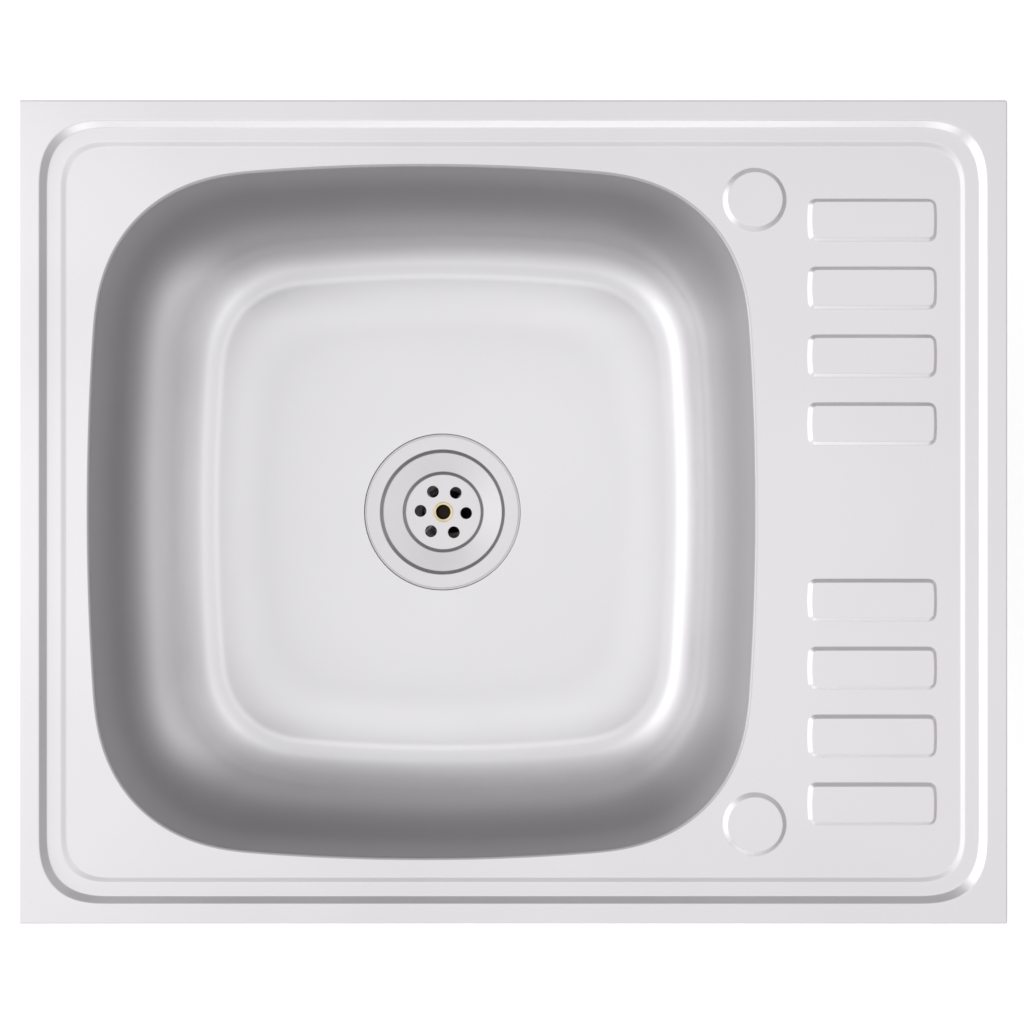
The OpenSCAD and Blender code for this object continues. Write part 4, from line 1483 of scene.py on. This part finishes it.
def seal(inner: float, outer: float, low: float, high: float, grooves: Sequence[float] = ()
         ) -> list[tuple[float, ...]]:
    """Profile of a flat gasket with rounded edges and sealing grooves on both sides.

    Args:
        inner: Radius of its bore.
        outer: Its outer radius.
        low: Height of its underside.
        high: Height of its upper side.
        grooves: Radii of the grooves' middles, from the outside in.

    Returns:
        The profile's knots.
    """
    depth, w = (high - low) * 0.16, 0.5
    top: list[tuple[float, ...]] = [(outer, high, 0.25)]
    for r in grooves:
        top += [(r + w, high, 0.1), (r + w / 2, high - depth, 0.1),
                (r - w / 2, high - depth, 0.1), (r - w, high, 0.1)]
    top.append((inner, high, 0.25))
    return top + [(r, low + high - z, f) for r, z, f in reversed(top)]


@dataclass(frozen=True)
class GripNut:
    """Moulded nut with upright grips, a thread inside and a lip at one end."""

    node: str
    body: str
    outer_r: float
    bore_r: float
    foot: float
    height: float = 20.0
    lip: float = 3.0
    lip_r: float = 20.3
    lip_up: bool = True
    axis: Axis = Axis.WASTE

    def build(self) -> None:
        """Makes the nut."""
        h, bevel = self.height, 1.0
        roof = h - self.lip
        knots = [(self.lip_r, h, 0.5), (self.lip_r + 2.4, h, 0.3),
                 (self.lip_r + 2.9, h - 0.35, 0.3), (self.outer_r - 2.2, h - 0.35, 0.4),
                 (self.outer_r - 1.7, h, 0.3), (self.outer_r - 0.8, h, 0.5, 0.1),
                 (self.outer_r, h - bevel, 0.6, 1), (self.outer_r, bevel, 0.6, 1),
                 (self.outer_r - 0.8, 0, 0.5, 0.1), (self.bore_r + 0.8, 0, 0.3),
                 (self.bore_r, 0.9, 0.2), (self.bore_r, 1.4, 0, 0, -0.3),
                 (self.bore_r, 2.6, 0, 0, -1), (self.bore_r, roof - 3, 0, 0, -1),
                 (self.bore_r, roof - 1.6, 0, 0, 0), (self.bore_r, roof, 0.3),
                 (self.lip_r, roof, 0.4)]
        flip = 1 if self.lip_up else -1
        start = self.foot if self.lip_up else self.foot + h
        placed = [(k[0], start + flip * k[1], *k[2:]) for k in knots]
        turned(self.node, PLASTIC, self.body, placed, axis=self.axis, depth=0.6)


def cone_seal(node: str, top: float, axis: Axis) -> None:
    """Makes a tapered compression washer.

    Args:
        node: The node that it stands for.
        top: Height of its flat end on its axis.
        axis: The axis.
    """
    knots = [(20.05, top, 0.25), (24.2, top, 0.4), (24.2, top - 4.4, 0.5),
             (20.9, top - 11.4, 0.3), (20.05, top - 11.4, 0.3)]
    body = "trap_clamp" if axis is Axis.WASTE else "trap"
    turned(node, RUBBER, body, knots, axis=axis)


@dataclass
class Waste:
    """What hangs under the strainer: gaskets, cup, insert, union nut and inlet pipe."""

    spoke_r: float = 50.4
    spoke_t: float = 2.5
    spoke_low: float = -150.0
    spoke_high: float = -144.0
    hub_r: float = 9.0
    hub_low: float = -166.0
    neck_r: float = 23.9

    def gaskets(self) -> None:
        """Makes the three flat gaskets."""
        turned("flange_gasket", RUBBER, "sink",
               seal(49.5, 57.0, -123.9, -122.7, (55.4, 53.3, 51.2)))
        turned("lower_gasket", RUBBER, "sink", seal(51.0, 57.0, -126.7, -124.7, (55.4, 53.6)))
        turned("tail_gasket", RUBBER, "sink", seal(20.5, 23.6, -189.7, -187.7), steps=72)

    def cup(self) -> None:
        """Makes the waste body with its spokes, hub and threaded outlet."""
        n = self.neck_r
        body = Lathe.of([
            (60, -126.7, 0.4), (60, -130.2, 0.8), (53, -130.2, 1.2), (53, -150.7, 3.0),
            (26.5, -169.2, 0.8), (n, -169.2, 0.3), (n, -171.0, 0, 0, 0.2),
            (n, -172.4, 0, 0, 1), (n, -186.4, 0, 0, 1), (n - 0.5, -187.7, 0.3),
            (20.5, -187.7, 0.3), (20.5, -167.7, 3.0), (50, -149.2, 3.0), (50, -126.7, 0.4)],
            depth=0.8).build("waste_body_fine")
        span = Patchwork()
        slab(span, lambda i, z: circle(self.hub_r - i, z, BOWL_X, 0, 64), self.hub_low,
             self.spoke_high, 0.6)
        combine(body, span.build("hub"), "UNION")
        for turn in (45, 135):
            spin = Matrix.Rotation(math.radians(turn), 3, "Z")
            bar = Outline(2 * self.spoke_r, self.spoke_t, 0.6, corner_steps=4, side_steps=2)
            spoke = Patchwork()
            slab(spoke, lambda i, z, spin=spin, bar=bar: bar.ring(i, z) @ np.array(
                spin).T + [BOWL_X, 0, 0], self.spoke_low, self.spoke_high, 0.7)
            combine(body, spoke.build("spoke"), "UNION")
        bore = Lathe.of([
            (0, -140), (7.2, -140, 0.2), (6.55, -144.6, 0.1), (6.55, -156.0, 0.1),
            (4.3, -156.0, 0.1), (4.3, -167, 0.1), (0, -167)], steps=64).build("hub_bore")
        combine(body, bore, "DIFFERENCE")
        finish_piece(body, PLASTIC, "sink", "waste_body")

    def build(self) -> None:
        """Makes the waste's pieces."""
        self.gaskets()
        self.cup()
        turned("screw_insert", BRASS, "sink",
               [(4.05, -144, 0.3), (6.5, -144, 0.2), (6.5, -156, 0.2), (4.05, -156, 0.3)],
               steps=64)
        GripNut("union_nut", "sink", 29.0, 24.2, -196.2, 25.0, 3.5, lip_up=False).build()
        turned("inlet_pipe", PLASTIC, "sink",
               [(18, -189.7, 0.4), (23.6, -189.7, 0.3), (23.6, -192.7, 0.4), (20, -192.7, 0.8),
                (20, -298.4, 0.4), (19.2, -299.7, 0.2), (18, -299.7, 0.3)])


@dataclass
class Trap:
    """Bottle trap: head with its clamp, port and dip tube, and the screwed cup."""

    neck_r: float = 26.0
    dip_r: float = 22.8
    bore_r: float = 20.3
    port_l: float = 76.0
    port_start: float = 25.2

    def mouth(self, end: float) -> list[tuple[float, ...]]:
        """Knots of a bore's tapered mouth that ends at a height, seen as a cutter."""
        return [(0, end + 1), (25.3, end + 1), (24.75, end, 0.3), (24.3, end - 0.9, 0.3),
                (self.bore_r, end - 8, 0.5)]

    def head(self) -> None:
        """Makes the trap head."""
        n, dip = self.neck_r, self.dip_r - 0.04
        parts = [
            ("", Axis.WASTE, [
                (0, -237.7), (n - 0.6, -237.7, 0.3), (n, -238.5, 0.2), (n, -239.2, 0, 0, 0.2),
                (n, -240.4, 0, 0, 1), (n, -252.6, 0, 0, 1), (n, -254.0, 0, 0, 0),
                (n, -256.3, 0.8), (27, -256.3, 0.5), (38, -260.3, 2.5), (38, -314.3, 0.4),
                (36.5, -314.3, 0.2), (36.5, -315.2, 0, 0, 0.2), (36.5, -316.6, 0, 0, 1),
                (36.5, -324.2, 0, 0, 1), (36.5, -325.2, 0, 0, 0.1), (36.0, -326.3, 0.3),
                (dip, -326.3, 0.1), (dip, -365.3, 0.5), (0, -365.3)]),
            ("UNION", Axis.OUTLET, [
                (0, 20.3), (n, 20.3), (n, 58, 0, 0, 0), (n, 59.4, 0, 0, 1), (n, 74, 0, 0, 1),
                (n, 75.2, 0, 0, 0.2), (n - 0.6, 76, 0.3), (0, 76)]),
            ("DIFFERENCE", Axis.WASTE, [
                (self.dip_r, -260.3, 0.6), (n, -260.3, 1.0), (35, -263.3, 2.0),
                (35, -310.3, 0.6), (33.5, -314.3, 0.4), (33.5, -327.3), (self.dip_r, -327.3)]),
            ("DIFFERENCE", Axis.OUTLET, [
                *self.mouth(self.port_l), (self.bore_r, self.port_start), (0, self.port_start)]),
            ("DIFFERENCE", Axis.WASTE, [
                *self.mouth(-237.7), (self.bore_r, -366.3), (0, -366.3)])]
        head = None
        for how, axis, knots in parts:
            solid = Lathe.of(knots, axis=axis, steps=96, depth=0.8).build(
                "trap_head_" + (how.lower() or "fine"))
            if head:
                combine(head, solid, how)
            else:
                head = solid
        finish_piece(head, PLASTIC, "trap", "trap_head")

    def cup(self) -> None:
        """Makes the cup with its gripped collar."""
        turned("trap_cup", PLASTIC, "cup", [
            (41.0, -314.6, 0.4, 0.1), (41.8, -315.6, 0.5, 1), (41.8, -328.4, 0.5, 1),
            (40.8, -329.4, 0.6, 0.1), (38.2, -332.4, 2.0), (37.2, -399.4, 3.0),
            (31.2, -405.4, 3.0), (14.0, -405.4, 0.4), (13.4, -404.6, 0.3), (12.0, -404.6, 0.3),
            (11.4, -405.4, 0.4), (0, -405.4), (0, -402.4), (29.2, -402.4, 2.5),
            (34.2, -398.4, 2.0), (35.2, -328.4, 0.3), (36.8, -328.4, 0.2),
            (36.8, -325.5, 0, 0, 0), (36.8, -324.0, 0, 0, -1), (36.8, -317.4, 0, 0, -1),
            (36.8, -316.0, 0, 0, -0.2), (37.4, -314.6, 0.3)], depth=0.6, grip_w=0.36)

    def build(self) -> None:
        """Makes the trap's pieces."""
        GripNut("head_nut", "trap_clamp", 30.0, 26.3, -249.7).build()
        cone_seal("head_washer", -233.0, Axis.WASTE)
        self.head()
        turned("cup_gasket", RUBBER, "cup_seal", seal(35.2, 36.2, -328.1, -326.6), steps=96)
        self.cup()
        GripNut("outlet_nut", "trap", 30.0, 26.3, 64.0, axis=Axis.OUTLET).build()
        cone_seal("outlet_washer", 80.7, Axis.OUTLET)


@dataclass
class Outlet:
    """Pipe to the wall and the rosette on it."""

    start: float = 44.0
    end: float = 248.0
    bead: float = 208.0
    pipe_r: float = 20.0
    bore_r: float = 18.0

    def build(self) -> None:
        """Makes the pipe and the rosette."""
        r, bead = self.pipe_r, self.bead
        turned("outlet_pipe", PLASTIC, "outlet",
               [(self.bore_r, self.end, 0.3), (r - 1.0, self.end, 0.3), (r, self.end - 2.5, 0.6),
                (r, bead + 1.5, 0.3), (r + 0.6, bead + 1.5, 0.3), (r + 0.6, bead, 0.3),
                (r, bead, 0.3), (r, self.start + 1.5, 0.5), (r - 0.7, self.start, 0.3),
                (self.bore_r, self.start, 0.3)], axis=Axis.OUTLET)
        z = bead - 8.8
        turned("wall_rosette", PLASTIC, "rosette",
               [(20.05, z, 0.5), (23.05, z, 2.0), (33, z + 6.3, 6.0), (36, z + 8.5, 0.3),
                (33.4, z + 8.5, 1.0), (23.05, z + 2.2, 1.5), (20.05, z + 5.2, 0.4)],
               axis=Axis.OUTLET)


# ---------------------------------------------------------------- surroundings

@dataclass(frozen=True)
class Panel:
    """Part of the studio's walls that is brighter or darker than its ceiling.

    A direction's lean is how far it points along the panel's own direction, so 0 is overhead
    and 1 is level with the floor.
    """

    toward: tuple[float, float]
    start: float
    full: float
    change: float


@dataclass
class Studio:
    """White floor, soft light from all round and the camera over the sink."""

    camera_z: float = 0.632
    rim_z: float = 0.034
    pixel: float = 0.0006061
    frame_px: int = 1024
    shift_px: float = 1.0
    aside: float = 0.007
    floor_z: float = -0.45
    floor_r: float = 9000.0
    floor_tone: Colour = (0.8, 0.8, 0.8)
    floor_glow: float = 0.30
    overhead: float = 1.03
    panels: tuple[Panel, ...] = tuple(Panel(*row) for row in (
        ((-1.0, 0.0), 0.49, 0.62, 0.42), ((-1.0, 0.0), 0.66, 0.80, 0.38),
        ((1.0, 0.0), 0.51, 0.64, -0.22), ((1.0, 0.0), 0.64, 0.95, -0.38),
        ((0.0, 1.0), 0.44, 0.60, -0.36), ((0.0, 1.0), 0.64, 0.95, -0.26),
        ((0.0, -1.0), 0.42, 0.58, -0.26), ((0.0, -1.0), 0.86, 0.95, 0.90)))

    def camera(self) -> None:
        """Places the camera straight above, at the photograph's distance."""
        data = bpy.data.cameras.new("camera")
        reach = self.camera_z - self.rim_z
        data.sensor_width = 36.0
        data.lens = data.sensor_width * reach / (self.frame_px * self.pixel)
        data.clip_start, data.clip_end = 0.01, 20.0
        thing = bpy.data.objects.new("camera", data)
        data.shift_x = -self.aside / (self.frame_px * self.pixel)
        thing.location = (self.aside - self.shift_px * self.pixel, 0.0, self.camera_z)
        bpy.context.scene.collection.objects.link(thing)
        bpy.context.scene.camera = thing

    def floor(self) -> None:
        """Lays a wide white floor with the sink's shadow, see-through from below."""
        skin = Patchwork()
        skin.flat([circle(self.floor_r, self.floor_z / MM, 0, 0, 96)])
        floor = skin.build("floor")
        face_up(floor, (0.0, 0.0, self.floor_z))
        made = bpy.data.materials.new("white_floor")
        g = Graph.emptied(made)
        matt = g.node("BsdfDiffuse", {"Color": (*self.floor_tone, 1)})
        glow = g.node("Emission", {"Color": (1, 1, 1, 1)})
        g.feed(glow.inputs["Strength"], g.times(self.seen(g), self.floor_glow))
        both = g.node("AddShader", {0: matt.outputs[0], 1: glow.outputs[0]})
        below = g.node("NewGeometry").outputs["Backfacing"]
        open_below = g.node("MixShader", {0: below, 1: both.outputs[0],
                                          2: g.node("BsdfTransparent").outputs[0]})
        g.node("OutputMaterial", {0: open_below.outputs[0]})
        floor.data.materials.append(made)

    @staticmethod
    def seen(g: Graph) -> Socket:
        """Gives 1 for rays from the camera or off metal and glass, and 0 for the rest."""
        path = g.node("LightPath")
        seen = g.math("MAXIMUM", path.outputs["Is Camera Ray"], path.outputs["Is Glossy Ray"])
        return g.math("MAXIMUM", seen, path.outputs["Is Transmission Ray"])

    def light(self) -> None:
        """Lights the sink from all round, brighter from the left and from the front's foot."""
        world = bpy.data.worlds.new("studio")
        bpy.context.scene.world = world
        g = Graph.emptied(world)
        way = g.node("SeparateXYZ", {0: g.node("TexCoord").outputs["Generated"]})
        total: object = self.overhead
        for panel in self.panels:
            lean = g.math("MULTIPLY_ADD", way.outputs[0], panel.toward[0],
                          g.times(way.outputs[1], panel.toward[1]))
            total = g.math("ADD", total, g.ramp(lean, panel.start, panel.full, 0.0,
                                                panel.change, True))
        path = g.node("LightPath")
        level = g.math("MAXIMUM", total, path.outputs["Is Camera Ray"])
        back = g.node("Background", {"Color": (1, 1, 1, 1), "Strength": level})
        g.node("OutputWorld", {0: back.outputs[0]})

    def build(self) -> None:
        """Makes the surroundings."""
        bpy.context.scene.view_settings.view_transform = "Standard"
        self.camera()
        self.floor()
        self.light()


def main() -> None:
    """Builds the sink, its surroundings and the camera."""
    logging.basicConfig(level=logging.INFO, format="%(name)s: %(message)s")
    Studio().build()
    deck, bowl = DeckPanel(), Bowl()
    deck.build()
    bowl.build()
    bowl.pad()
    Stiffener().build()
    CornerPlates().build(deck)
    Strainer().build()
    Waste().build()
    Trap().build()
    Outlet().build()


if __name__ == "__main__":
    main()
